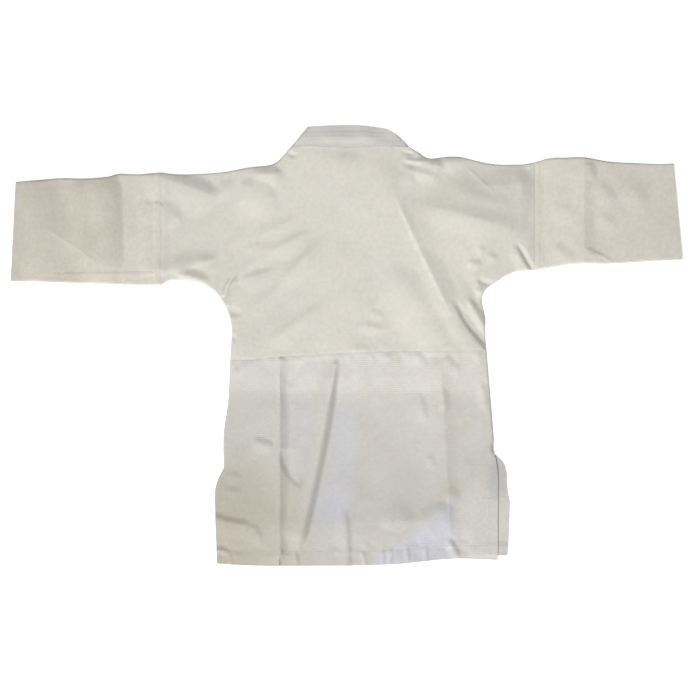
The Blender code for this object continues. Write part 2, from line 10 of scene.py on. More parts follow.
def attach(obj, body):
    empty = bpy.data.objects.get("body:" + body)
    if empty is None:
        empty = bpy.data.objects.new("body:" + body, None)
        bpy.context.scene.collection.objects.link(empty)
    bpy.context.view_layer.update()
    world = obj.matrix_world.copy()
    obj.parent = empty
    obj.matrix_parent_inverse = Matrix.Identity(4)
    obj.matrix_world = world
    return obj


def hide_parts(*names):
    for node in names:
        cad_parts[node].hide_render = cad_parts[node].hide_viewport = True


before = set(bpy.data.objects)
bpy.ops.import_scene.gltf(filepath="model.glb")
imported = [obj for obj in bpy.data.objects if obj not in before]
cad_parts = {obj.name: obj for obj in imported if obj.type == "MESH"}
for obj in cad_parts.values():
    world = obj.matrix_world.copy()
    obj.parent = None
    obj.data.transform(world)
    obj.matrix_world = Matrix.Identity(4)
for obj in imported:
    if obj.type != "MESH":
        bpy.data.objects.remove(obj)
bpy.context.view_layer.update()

# A child's judo jacket, laid out flat on its front. The tables are in millimetres: x across the
# jacket, y towards the collar, z up. The pieces come in the order in which they lie on each
# other, from the surface up, and what is already laid carries what comes next.

# --- The left front of the body -------------------------------------------------------------
# One layer of heavy cotton, woven in small staggered grains, with its right side down. It is cut
# with the shoulder and sewn to the back along the underarm, so its edge rolls up there.

MM = 0.001
CLOTH = 1.5  # wall of the body, the skirt and the sleeves
ROLL = 3.2  # radius of a folded edge, seen from above
SHORTEST_FOLD = 15.0  # a folded edge is at least so long
CELL = 3.0  # heights are kept at places this far apart
FINE = 2.4  # between the points of cloth that shows
PLAIN = 5.0  # and of cloth that lies under it
GRID_X = np.arange(-486.0, 487.0, CELL)
GRID_Y = np.arange(-327.0, 328.0, CELL)
laid = np.zeros((len(GRID_Y), len(GRID_X)))  # top of the fronts and the collar, as they are laid


def rise(value, start, end):
    """A smooth step from 0 at start to 1 at end."""
    t = np.clip((value - start) / (end - start), 0, 1)
    return t * t * (3 - 2 * t)


def mottle(points, size, seed):
    """A smooth random height of about -1 to 1, with swells of about that size."""
    table = np.random.default_rng(seed).normal(size=(256, 256))
    at = points / size + 100
    cell = np.floor(at).astype(int)
    t = at - cell
    shares = ((1 - t) ** 3, 3 * t**3 - 6 * t**2 + 4, 1 + 3 * t + 3 * t**2 - 3 * t**3, t**3)
    value = np.zeros(len(points))
    for i, across in enumerate(shares):
        for j, along in enumerate(shares):
            value += across[:, 0] * along[:, 1] * table[cell[:, 0] + i, cell[:, 1] + j]
    return value / 18


def looked_up(field, points):
    """A field of heights at points between its places."""
    u = np.clip((points[:, 0] - GRID_X[0]) / CELL, 0, len(GRID_X) - 1.001)
    v = np.clip((points[:, 1] - GRID_Y[0]) / CELL, 0, len(GRID_Y) - 1.001)
    i, j = u.astype(int), v.astype(int)
    a, b = u - i, v - j
    low = field[j, i] * (1 - a) + field[j, i + 1] * a
    high = field[j + 1, i] * (1 - a) + field[j + 1, i + 1] * a
    return low * (1 - b) + high * b


def blurred(field, known, rounds):
    """The field, spread softly also past the places where it is known."""
    both = np.stack([np.where(known, field, 0.0), known.astype(float)])
    for _ in range(rounds):
        for axis in (1, 2):
            both = (np.roll(both, 1, axis) + 2 * both + np.roll(both, -1, axis)) / 4
    return both[0] / np.maximum(both[1], 1e-9)


def cast(points, faces, up):
    """The heights of a mesh seen from above (up 1) or from below (up -1), and where it is."""
    tree = BVHTree.FromPolygons([tuple(p) for p in points], faces)
    heights = np.zeros(laid.shape)
    known = np.zeros(laid.shape, bool)
    low, high = points.min(0), points.max(0)
    for j in np.flatnonzero((GRID_Y > low[1]) & (GRID_Y < high[1])):
        for i in np.flatnonzero((GRID_X > low[0]) & (GRID_X < high[0])):
            hit = tree.ray_cast(Vector((GRID_X[i], GRID_Y[j], 99.0 * up)), Vector((0, 0, -up)))
            if hit[0] is not None and abs(hit[1].z) > 0.9:
                heights[j, i] = hit[0].z
                known[j, i] = True
    return heights, known


def smooth_run(points, step, close_start, close_end):
    """Even points on a smooth curve through these, with close ones where a folded edge is near."""
    gap = np.linalg.norm(np.diff(points, axis=0), axis=1)
    along = np.r_[0, np.cumsum(gap)]
    keep = [0]
    for i in range(1, len(points) - 1):
        if along[i] - along[keep[-1]] > 5 and along[-1] - along[i] > 5:
            keep.append(i)
    points, along = points[keep + [-1]], np.r_[along[keep], along[-1]]
    gap = np.diff(along)[:, None]
    slope = np.diff(points, axis=0) / gap
    middle = (slope[1:] * gap[:-1] + slope[:-1] * gap[1:]) / (gap[1:] + gap[:-1])
    tangent = np.vstack([slope[:1], middle, slope[-1:]])
    at = np.linspace(0, along[-1], max(1, round(along[-1] / step)) + 1)
    if close_start:
        at = np.r_[0, ROLL_ROWS, at[at > ROLL + 0.5 * step]]
    if close_end:
        at = np.r_[at[at < along[-1] - ROLL - 0.5 * step], along[-1] - ROLL_ROWS[::-1], along[-1]]
    i = np.clip(np.searchsorted(along, at, side="right") - 1, 0, len(gap) - 1)
    t = ((at - along[i]) / gap[i, 0])[:, None]
    start, end, width = points[i], points[i + 1], gap[i]
    curved = (2 * t**3 - 3 * t**2 + 1) * start + (3 * t**2 - 2 * t**3) * end
    return curved + width * ((t**3 - 2 * t**2 + t) * tangent[i] + (t**3 - t**2) * tangent[i + 1])


ROLL_ROWS = ROLL * np.array((0.03, 0.13, 0.29, 0.5, 0.75, 1.0))


def reaching(faces, up, level):
    """Those of the faces that hang together with one that lies past the level."""
    members = set(faces)
    found, kept = set(), []
    for face in faces:
        if face in found:
            continue
        group, waiting = [], [face]
        found.add(face)
        while waiting:
            one = waiting.pop()
            group.append(one)
            for edge in one.edges:
                beside = [f for f in edge.link_faces if f in members and f not in found]
                found.update(beside)
                waiting += beside
        if max(v.co.z * up for f in group for v in f.verts) > level * up * MM:
            kept += group
    return kept


def outer_side(part, up, rounds, level=None):
    """A CAD piece's outer face: its height, and its outlines as smooth runs between corners.

    The height is as soft as cloth that follows what is under it, after so many rounds. A run is
    its points and whether the cloth is folded over there. Where a piece has two layers, only the
    outer one's face reaches past the level.
    """
    shell = bmesh.new()
    shell.from_mesh(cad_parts[part].data)
    bmesh.ops.remove_doubles(shell, verts=shell.verts, dist=0.01 * MM)
    shell.verts.index_update()
    chosen = [f for f in shell.faces if f.normal.z * up > 0.05]
    if level is not None:
        chosen = reaching(chosen, up, level)
    members = set(chosen)
    following = {}
    for face in chosen:
        for corner in face.loops:
            beyond = [f for f in corner.edge.link_faces if f not in members]
            if beyond:
                after = corner.link_loop_next.vert.index
                following[corner.vert.index] = (after, abs(beyond[0].normal.z) > 0.1)
    places = np.array([tuple(v.co) for v in shell.verts]) / MM
    faces = [tuple(v.index for v in f.verts) for f in chosen]
    shell.free()
    outlines = []
    while following:
        vert = min(following)
        loop, folded = [], []
        while vert in following:
            loop.append(vert)
            vert, fold = following.pop(vert)
            folded.append(fold)
        if up < 0:
            loop, folded = loop[::-1], folded[-2::-1] + folded[-1:]
        outlines.append(runs_of(places[loop], np.array(folded)))
    field = blurred(*cast(places, faces, up), rounds)
    return lambda points: looked_up(field, points), outlines


def runs_of(loop, folded):
    """A closed outline cut at its corners and where a folded edge begins or ends."""
    ahead = np.roll(loop, -1, 0)[:, :2] - loop[:, :2]
    changes = np.flatnonzero(folded != np.roll(folded, 1))
    for start, end in zip(changes, np.r_[changes[1:], changes[:1] + len(loop)]):
        span = np.arange(start, end) % len(loop)
        if np.linalg.norm(ahead[span], axis=1).sum() < SHORTEST_FOLD:
            folded[span] = False
    behind = np.roll(ahead, 1, 0)
    straight = (ahead * behind).sum(1) / np.linalg.norm(ahead, axis=1)
    straight /= np.linalg.norm(behind, axis=1)
    corners = np.flatnonzero((straight < 0.64) | (folded != np.roll(folded, 1)))
    runs = []
    for start, end in zip(corners, np.r_[corners[1:], corners[0] + len(loop)]):
        runs.append((loop[np.arange(start, end + 1) % len(loop)], folded[start]))
    return runs


def nearest(points, paths):
    """Distance to the paths, direction to them, height there, side and distance along them."""
    a = np.vstack([p[:-1] for p in paths])
    b = np.vstack([p[1:] for p in paths])
    ab = (b - a)[:, :2]
    length = np.linalg.norm(ab, axis=1)
    before = np.cumsum(length) - length
    found = np.zeros((len(points), 6))
    for first in range(0, len(points), 2000):
        some = points[first : first + 2000]
        share = ((some[:, None] - a[:, :2]) * ab).sum(2) / length**2
        share = np.clip(share, 0, 1)
        offset = a[:, :2] + share[..., None] * ab - some[:, None]
        distances = np.linalg.norm(offset, axis=2)
        i = distances.argmin(1)
        rows = np.arange(len(some))
        t, to = share[rows, i], offset[rows, i]
        distance = distances[rows, i]
        outward = np.column_stack([ab[i, 1], -ab[i, 0]]) / length[i, None]
        unit = to / np.maximum(distance, 1e-9)[:, None]
        unit[distance < 1e-3] = outward[distance < 1e-3]
        z = a[i, 2] + t * (b[i, 2] - a[i, 2]) if a.shape[1] > 2 else np.zeros(len(some))
        side = np.sign(ab[i, 1] * to[:, 0] - ab[i, 0] * to[:, 1])
        found[first : first + 2000] = np.column_stack(
            [distance, unit, z, side, before[i] + t * length[i]]
        )
    return found[:, 0], found[:, 1:3], found[:, 3], found[:, 4], found[:, 5]


def inside(points, outline):
    """Which of the points lie inside a closed outline."""
    a, b = outline, np.roll(outline, -1, axis=0)
    height = np.where(a[:, 1] == b[:, 1], 1.0, b[:, 1] - a[:, 1])
    result = []
    for first in range(0, len(points), 4000):
        x, y = points[first : first + 4000, :1], points[first : first + 4000, 1:2]
        spans = (a[:, 1] > y) != (b[:, 1] > y)
        crossing = a[:, 0] + (y - a[:, 1]) * (b[:, 0] - a[:, 0]) / height
        result.append((spans & (x < crossing)).sum(1) % 2 == 1)
    return np.concatenate(result)


def clear_of(points, others, apart):
    """Which of the points are at least so far from all the others."""
    tree = KDTree(len(others))
    for i, p in enumerate(others):
        tree.insert((p[0], p[1], 0), i)
    tree.balance()
    return np.array([tree.find((p[0], p[1], 0))[2] > apart for p in points], bool)


def layer(outline, height, thick=CLOTH, up=1, spacing=FINE, marks=()):
    """One layer of cloth as a closed sheet with rolled edges: points in millimetres, and faces.

    The height is that of its outer face, its thickness may be a function of the place, and the
    marks are rows of points that it has to have.
    """
    runs = []
    for i, (points, folded) in enumerate(outline):
        before, after = outline[i - 1][1], outline[(i + 1) % len(outline)][1]
        close = (not folded and before, not folded and after)
        runs.append((smooth_run(points, spacing, *close), folded))
    edge = np.vstack([points[:-1] for points, _ in runs])
    rolled = [points for points, folded in runs if folded]
    inner = [edge[:, :2]]
    for path in rolled:
        _, outward, _, _, _ = nearest(path[1:-1, :2], [path])
        for reach in ROLL_ROWS:
            row = path[1:-1, :2] - outward * reach
            distance = nearest(row, rolled)[0]
            inner.append(row[(distance > reach - 0.05) & inside(row, edge[:, :2])])
    for row in marks:
        row = row[inside(row, edge[:, :2])]
        if len(row):
            inner.append(row[clear_of(row, np.vstack(inner), 0.5)])
    x = np.arange(edge[:, 0].min(), edge[:, 0].max(), spacing)
    y = np.arange(edge[:, 1].min(), edge[:, 1].max(), spacing * 0.866)
    grid = np.stack(np.meshgrid(x, y), axis=2)
    grid[1::2, :, 0] += spacing / 2
    grid = grid.reshape(-1, 2)
    grid = grid[inside(grid, edge[:, :2])]
    grid = grid[clear_of(grid, np.vstack(inner), 0.62 * spacing)]
    flat = np.vstack(inner + [grid])
    ring = [list(range(len(edge)))]
    found = delaunay_2d_cdt([Vector(p) for p in flat], [], ring, 1, 1e-6)
    flat = np.array([tuple(v) for v in found[0]])
    faces = np.array(found[2])
    a, b, c = (flat[faces[:, i]] for i in range(3))
    area = np.cross(b - a, c - a)
    faces = np.where(area[:, None] > 0, faces, faces[:, ::-1])[abs(area) > 1e-6]

    sine, toward, meeting = np.zeros(len(flat)), np.zeros((len(flat), 2)), np.zeros(len(flat))
    distance = np.full(len(flat), np.inf)
    if rolled:
        distance, toward, meeting, _, _ = nearest(flat, rolled)
        distance[distance < 1e-3] = 0.0
        sine = np.clip(1 - distance / ROLL, 0, 1)
    wall = thick(flat) if callable(thick) else np.full(len(flat), thick)
    inward = -toward * (sine * wall)[:, None]
    plain = [points for points, folded in runs if not folded]
    if plain:
        end_distance, normal, _, _, _ = nearest(flat, plain)
        tangent = np.column_stack([-normal[:, 1], normal[:, 0]])
        share = (inward * tangent).sum(1)
        slides = (end_distance < 1e-3) & (abs(share) > 0.5 * np.linalg.norm(inward, axis=1))
        inward[slides] = (tangent * share[:, None])[slides]
    cosine = np.sqrt(1 - sine**2)
    outer_z = height(flat)
    inner_z = outer_z - up * wall
    outer = np.column_stack([flat, meeting + (outer_z - meeting) * cosine])
    within = np.column_stack([flat + inward, meeting + (inner_z - meeting) * cosine])
    top, bottom = (outer, within) if up > 0 else (within, outer)

    count = len(flat)
    triangles = [tuple(f) for f in faces]
    directed = {(f[i], f[(i + 1) % 3]) for f in triangles for i in range(3)}
    solid = triangles + [(f[0] + count, f[2] + count, f[1] + count) for f in triangles]
    walls = [(a, b) for a, b in sorted(directed) if (b, a) not in directed]
    return np.vstack([top, bottom]), solid, walls, distance == 0


SHARP_ANGLE = np.radians(60)  # faces that meet at more show an edge


def placed(name, data):
    """A new object in the scene."""
    item = bpy.data.objects.new(name, data)
    bpy.context.scene.collection.objects.link(item)
    return item


def piece(name, *layers, joined=False, carries=False):
    """A mesh object of one layer, or of layers that go on in each other where they are folded.

    What carries other pieces raises what is laid so far.
    """
    points, faces = [], []
    start = 0
    for places, solid, walls, on_fold in layers:
        count = len(places) // 2
        points.append(places)
        faces += [tuple(v + start for v in f) for f in solid]
        for a, b in walls:
            if not (joined and on_fold[a] and on_fold[b]):
                faces.append((a + count + start, b + count + start, b + start, a + start))
        start += len(places)
    points = np.vstack(points)
    mesh = bpy.data.meshes.new(name)
    mesh.from_pydata((points * MM).tolist(), [], [tuple(map(int, f)) for f in faces])
    if joined:
        merged = bmesh.new()
        merged.from_mesh(mesh)
        bmesh.ops.remove_doubles(merged, verts=merged.verts, dist=0.01 * MM)
        merged.to_mesh(mesh)
        merged.free()
    mesh.validate()
    mesh.shade_smooth()
    mesh.set_sharp_from_angle(angle=SHARP_ANGLE)
    if carries:
        heights, known = cast(points, faces, 1)
        laid[known] = np.maximum(laid, heights)[known]
    return placed(name, mesh)


def node(tree, kind, *values, **settings):
    """A shader node with its inputs set or linked in order, None leaving one as it is."""
    new = tree.nodes.new(kind)
    for key, value in settings.items():
        setattr(new, key, value)
    for socket, value in zip(new.inputs, values):
        if isinstance(value, bpy.types.NodeSocket):
            tree.links.new(value, socket)
        elif value is not None:
            socket.default_value = value
    return new.outputs[0]


def reckon(tree, operation, *values):
    return node(tree, "ShaderNodeMath", *values, operation=operation)


def ramp(tree, value, start, end, low, high, **settings):
    """A shader node that goes from low to high as the value goes from start to end."""
    return node(tree, "ShaderNodeMapRange", value, start, end, low, high, **settings)


def noise(tree, place, scale, detail, roughness):
    return node(tree, "ShaderNodeTexNoise", place, None, scale, detail, roughness)


def mixed(tree, share, first, second):
    """The two colours, mixed by the share."""
    others = (None,) * 5  # its inputs for numbers and vectors
    mix = node(tree, "ShaderNodeMix", share, *others, first, second, data_type="RGBA")
    return mix.node.outputs[2]


def plain_material(name, **values):
    """A material with these inputs of its shader, its tree, the inputs and the place."""
    material = bpy.data.materials.new(name)
    material.use_nodes = True
    tree = material.node_tree
    inputs = tree.nodes["Principled BSDF"].inputs
    for key, value in values.items():
        inputs[key.replace("_", " ")].default_value = value
    return material, tree, inputs, node(tree, "ShaderNodeTexCoord").node.outputs["Object"]


def roughened(tree, inputs, relief, strength, depth):
    """Gives the shader a relief, so deep in millimetres."""
    bump = node(tree, "ShaderNodeBump", strength, depth * MM).node
    tree.links.new(relief, bump.inputs["Height"])
    tree.links.new(bump.outputs[0], inputs["Normal"])


def woven(name, tints, weave, depth, shows, tone, contrast, uneven):
    """A cotton cloth from its three tints, its weave as a height from 0 to 1, and nap.

    The weave shows more in some patches than in others, from one share of it to another. Its
    hollows are painted darker by the contrast, as painted shade, and the thread is uneven by so
    much.
    """
    material, tree, inputs, place = plain_material(
        name, Roughness=0.85, Specular_IOR_Level=0.2, Sheen_Weight=0.15, Sheen_Roughness=0.5
    )
    in_mm = node(tree, "ShaderNodeVectorMath", place, (1000.0,) * 3, operation="MULTIPLY")
    apart = node(tree, "ShaderNodeSeparateXYZ", in_mm).node
    x, y = apart.outputs[:2]
    clear = ramp(tree, noise(tree, place, 22.0, 3.0, 0.55), 0.4, 0.62, *shows)
    height = reckon(tree, "SUBTRACT", weave(tree, x, y), 0.5)
    height = reckon(tree, "MULTIPLY_ADD", height, clear, 0.5)
    ground = (*tints[0], 1)
    for tint, scale, start, end in zip(tints[1:], (9.0, 31.0), (0.44, 0.5), (0.62, 0.68)):
        share = ramp(tree, noise(tree, place, scale, 4.0, 0.6), start, end, 0.0, 1.0)
        ground = mixed(tree, share, ground, (*tint, 1))
    slubs = noise(tree, place, 180.0, 3.0, 0.65)
    # painted shade: the weave's hollows are darker by the contrast
    thread = reckon(tree, "MULTIPLY_ADD", height, contrast, 1.0 - 0.5 * (contrast + uneven))
    thread = reckon(tree, "MULTIPLY_ADD", slubs, uneven, thread)
    if tone:
        ground = node(tree, "ShaderNodeVectorMath", ground, tone(tree, x, y), operation="MULTIPLY")
    colour = node(tree, "ShaderNodeVectorMath", ground, operation="SCALE")
    tree.links.new(thread, colour.node.inputs["Scale"])
    tree.links.new(colour, inputs["Base Color"])
    fuzz = noise(tree, place, 900.0, 2.0, 0.6)
    roughened(tree, inputs, reckon(tree, "MULTIPLY_ADD", fuzz, 0.35, height), 1.0, depth)
    return material


def grains(width, length):
    """A weave of small staggered grains, each so wide and so long."""

    def weave(tree, x, y):
        across = reckon(tree, "COSINE", reckon(tree, "MULTIPLY", x, np.pi / width))
        along = reckon(tree, "COSINE", reckon(tree, "MULTIPLY", y, np.pi / length))
        product = reckon(tree, "MULTIPLY", across, along)
        return reckon(tree, "MULTIPLY_ADD", product, 0.5, 0.5)

    return weave


SEAM_LEFT, SEAM_RIGHT = -260.4, 262.5  # where the sleeves are sewn on
LAP = 9.5  # at the left one the sleeve's edge is laid over the body's and stitched down to here


def tinted(start, end, change):
    """A change of red, green and blue to the left of there."""

    def tone(tree, x, y):
        share = ramp(tree, x, start, end, 1.0, 0.0)
        parts = [reckon(tree, "MULTIPLY_ADD", share, part, 1.0) for part in change]
        return node(tree, "ShaderNodeCombineXYZ", *parts)

    return tone


LAP_END = SEAM_LEFT + LAP
GREYER = tinted(LAP_END - 0.4, LAP_END + 0.4, (0.0, -0.008, 0.025))  # the cloth along that seam
BODY_TINTS = ((0.698, 0.673, 0.600), (0.671, 0.653, 0.585), (0.692, 0.676, 0.612))
body_cloth = woven(
    "body_cotton", BODY_TINTS, grains(1.5, 2.1),
    depth=0.18, shows=(0.3, 0.7), tone=GREYER, contrast=0.13, uneven=0.28,
)


def finish_cloth(item, node_name, material):
    """The last calls on a piece of cloth."""
    item.data.materials.append(material)
    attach(item, "root")
    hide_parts(node_name)


FRONT = {"rounds": 6, "most": 0.25, "size": 38.0}  # how soft its form is, and its swells


def face_down(
    name, slot, material, rests_on, seed, rounds, most, size, thick=CLOTH, marks=(), band=None
):
    """A piece's cloth, face down, with slight swells in it, and the height of its face."""
    base, outlines = outer_side(name, -1, rounds)

    def height(points):
        return base(points) + most * (1 + np.clip(mottle(points, size, seed), -1, 1))

    cloth = layer(outlines[0], height, thick=thick, up=-1, spacing=PLAIN, marks=marks)
    item = piece(name + "_cloth", cloth, carries=True)
    finish_cloth(item, name, material)
    return height


face_down("front_left_body", "body_cloth", body_cloth, ["floor"], seed=11, **FRONT)

# --- The left front's skirt -----------------------------------------------------------------
# Lighter cotton with fine cross ribs and a diamond line in the weave, sewn on below the waist.
# Its vent edge and its hem are turned under and stitched.

SKIRT_TINTS = ((0.715, 0.692, 0.640), (0.690, 0.662, 0.604), (0.712, 0.697, 0.668))
RIB = 2.9  # from rib to rib
DIAMOND = 27.0  # between the lines of the diamonds, across them
LEAN = np.radians(38)  # of those lines


def ribs(tree, x, y):
    """Cross ribs, and raised threads that cross in diamonds."""
    rib = reckon(tree, "SINE", reckon(tree, "MULTIPLY", y, 2 * np.pi / RIB))
    total = reckon(tree, "MULTIPLY_ADD", rib, 0.22, 0.4)
    for turn, strength in ((1, 0.45), (-1, 0.2)):
        leaning = reckon(tree, "MULTIPLY_ADD", x, -turn * np.sin(LEAN) / DIAMOND, 50.0)
        across = reckon(tree, "MULTIPLY_ADD", y, np.cos(LEAN) / DIAMOND, leaning)
        past = reckon(tree, "SUBTRACT", reckon(tree, "FRACT", across), 0.5)
        line = ramp(tree, reckon(tree, "ABSOLUTE", past), 0.0, 1.1 / DIAMOND, strength, 0.0)
        total = reckon(tree, "ADD", total, line)
    return total


PAINTED_SHADE_BY_Y = (  # at y, how light the skirt is painted: painted shade makes it greyer below the crease where it was folded
    (-300.0, -262.0, -240.0, -200.0, -130.0, -82.0, -58.0, 0.0),
    (0.90, 0.90, 0.87, 0.88, 0.905, 0.91, 1.0, 1.03),
)
LIGHT_AND_SHADE_PATCHES = (  # patches of painted light and painted shade, with their tints: x, y, how far it reaches each way, how much lighter it is there, and how much bluer
    (-150.0, -262.0, 130.0, 130.0, -0.085, -0.100),
    (-4.0, -160.0, 26.0, 120.0, 0.035, 0.090),
    (-66.0, -112.0, 28.0, 70.0, 0.0, 0.070),
    (-30.0, -226.0, 34.0, 44.0, 0.0, 0.100),
    (196.0, -262.0, 80.0, 90.0, 0.120, 0.010),
    (96.0, -196.0, 60.0, 50.0, -0.050, 0.0),
    (150.0, -196.0, 26.0, 22.0, -0.030, -0.040),
    (213.0, -186.0, 22.0, 38.0, -0.120, 0.060),
    (222.0, -292.0, 14.0, 13.0, -0.080, 0.080),
)
PAINTED_LIGHT_SLANT = np.radians(38.0)  # the cloth is painted lighter and bluer, as painted light, right of a line that rises at that angle
PAINTED_LIGHT_X, PAINTED_LIGHT_Y = 75.0, -270.0  # from here
PAINTED_LIGHT_END = 147.0  # up to the crease


def with_painted_patches(tree, x, y, light, blue):
    """How light and how blue the cloth is with its patches of painted light and shade, each of
    which fades out smoothly.
    """
    for at_x, at_y, wide, high, lighter, bluer in LIGHT_AND_SHADE_PATCHES:
        u = reckon(tree, "MULTIPLY_ADD", x, 1 / wide, -at_x / wide)
        v = reckon(tree, "MULTIPLY_ADD", y, 1 / high, -at_y / high)
        away = reckon(tree, "MULTIPLY_ADD", u, u, reckon(tree, "MULTIPLY", v, v))
        share = ramp(tree, away, 0.0, 1.0, 1.0, 0.0, interpolation_type="SMOOTHSTEP")
        light = reckon(tree, "MULTIPLY_ADD", share, lighter, light)
        blue = reckon(tree, "MULTIPLY_ADD", share, bluer, blue)
    return light, blue


def painted_light_and_shade(tree, x, y):
    """How light the cloth is painted along the skirt: painted shade below its crease, darker
    towards the left, and painted light and shade where it is lighter, yellower or bluer.
    """
    places, lights = PAINTED_SHADE_BY_Y
    light = ramp(tree, x, -160.0, 190.0, lights[0] - 0.035, lights[0] + 0.035)
    for y0, y1, light0, light1 in zip(places, places[1:], lights, lights[1:]):
        light = reckon(tree, "ADD", light, ramp(tree, y, y0, y1, 0.0, light1 - light0))
    # painted light: the cloth is lighter and bluer on one side of a slanting line, up to the crease
    c, s = np.cos(PAINTED_LIGHT_SLANT), np.sin(PAINTED_LIGHT_SLANT)
    past = reckon(tree, "MULTIPLY_ADD", x, s, PAINTED_LIGHT_Y * c - PAINTED_LIGHT_X * s)
    past = reckon(tree, "MULTIPLY_ADD", y, -c, past)
    turned = ramp(tree, past, -3.0, 7.0, 0.0, 1.0)
    before_end = ramp(tree, x, PAINTED_LIGHT_END - 9, PAINTED_LIGHT_END + 9, 1.0, 0.0)
    turned = reckon(tree, "MULTIPLY", turned, before_end)
    light = reckon(tree, "MULTIPLY_ADD", turned, 0.03, light)
    blue = reckon(tree, "MULTIPLY_ADD", turned, 0.15, 1.0)
    light, blue = with_painted_patches(tree, x, y, light, blue)
    red = reckon(tree, "MULTIPLY", light, reckon(tree, "MULTIPLY_ADD", blue, -0.25, 1.25))
    return node(tree, "ShaderNodeCombineXYZ", red, light, reckon(tree, "MULTIPLY", light, blue))


# the skirt's colour carries painted light and painted shade
skirt_cloth = woven(
    "skirt_cotton", SKIRT_TINTS, ribs,
    depth=0.2, shows=(0.5, 1.0), tone=painted_light_and_shade, contrast=0.1, uneven=0.22,
)
HEM_TOP = -277.5  # up to here the hem is turned up on the inside
HEM_PLY = 1.0  # what it adds to the wall
HEM_STEP = 1.2  # within this


def hemmed(points):
    """Thickness of the cloth, with its hem."""
    return CLOTH + HEM_PLY * rise(-points[:, 1], -HEM_TOP, HEM_STEP - HEM_TOP)


across = np.arange(-200.0, 232.0, 2.5)
step_rows = [np.column_stack([across, 0 * across + HEM_TOP - d]) for d in (-0.4, HEM_STEP)]
HEMMED = {"thick": hemmed, "marks": step_rows}
face_down("front_left_skirt", "skirt_cloth", skirt_cloth, ["floor"], seed=12, **FRONT, **HEMMED)

# --- The left lapel -------------------------------------------------------------------------
# A band of several plies of twill, folded over the front's free edge and quilted with rows of
# stitches along it. It starts at the collar's end and stops above the hem.

BAND = 3.6  # its plies together
BAND_WIDTH = 34.0
BAND_TINTS = ((0.672, 0.652, 0.612), (0.642, 0.620, 0.575), (0.664, 0.648, 0.625))
RIDGE = 1.9  # from ridge to ridge of the twill, along x or y


def twill(tree, x, y):
    """Fine diagonal ridges."""
    both = reckon(tree, "ADD", x, y)
    ridge = reckon(tree, "SINE", reckon(tree, "MULTIPLY", both, 2 * np.pi / RIDGE))
    return reckon(tree, "MULTIPLY_ADD", ridge, 0.5, 0.5)


band_cloth = woven(
    "band_twill", BAND_TINTS, twill,
    depth=0.12, shows=(0.5, 1.0), tone=None, contrast=0.1, uneven=0.16,
)
LAPEL = {"rounds": 4, "most": 0.1, "size": 30.0, "thick": BAND, "band": BAND_WIDTH}
face_down("lapel_left", "collar_band", band_cloth, ["floor"], seed=13, **LAPEL)

# --- The right front, its skirt and its lapel -----------------------------------------------
# The same pieces again, of the same cloths. Worn, the left front is wrapped over this one, so
# face down this one lies on the left front and steps up over its lapel.

on_front, on_skirt = ["front_left_body_cloth"], ["front_left_skirt_cloth"]
face_down("front_right_body", "body_cloth", body_cloth, on_front, seed=14, **FRONT)
right_skirt = face_down(
    "front_right_skirt", "skirt_cloth", skirt_cloth, on_skirt, seed=15, **FRONT, **HEMMED
)
face_down("lapel_right", "collar_band", band_cloth, on_front, seed=16, **LAPEL)

# --- The collar -----------------------------------------------------------------------------
# The same quilted band behind the neck. It turns under at both sides and its two ends run on
# to the lapels.


def evenly(path, step):
    """Points on a path, so far apart, and how far along it each is."""
    gap = np.linalg.norm(np.diff(path, axis=0), axis=1)
    along = np.r_[0, np.cumsum(gap)]
    at = np.arange(0, along[-1], step)
    return np.column_stack([np.interp(at, along, path[:, i]) for i in (0, 1)]), at


def lines_of(*paths, offsets=(-1.1, 0.0, 1.1), step=2.0):
    """Rows of points along stitched lines and close beside them, for the cloth to dip there."""
    rows = []
    for path in paths:
        line, _ = evenly(path, step)
        ahead = np.gradient(line, axis=0)
        ahead /= np.linalg.norm(ahead, axis=1)[:, None]
        beside = np.column_stack([-ahead[:, 1], ahead[:, 0]])
        rows += [line + beside * offset for offset in offsets]
    return rows


def dips(points, paths, deep, wide):
    """How far the cloth is drawn down along stitched lines."""
    distance = nearest(points, paths)[0]
    return -deep * np.exp(-((distance / wide) ** 2))


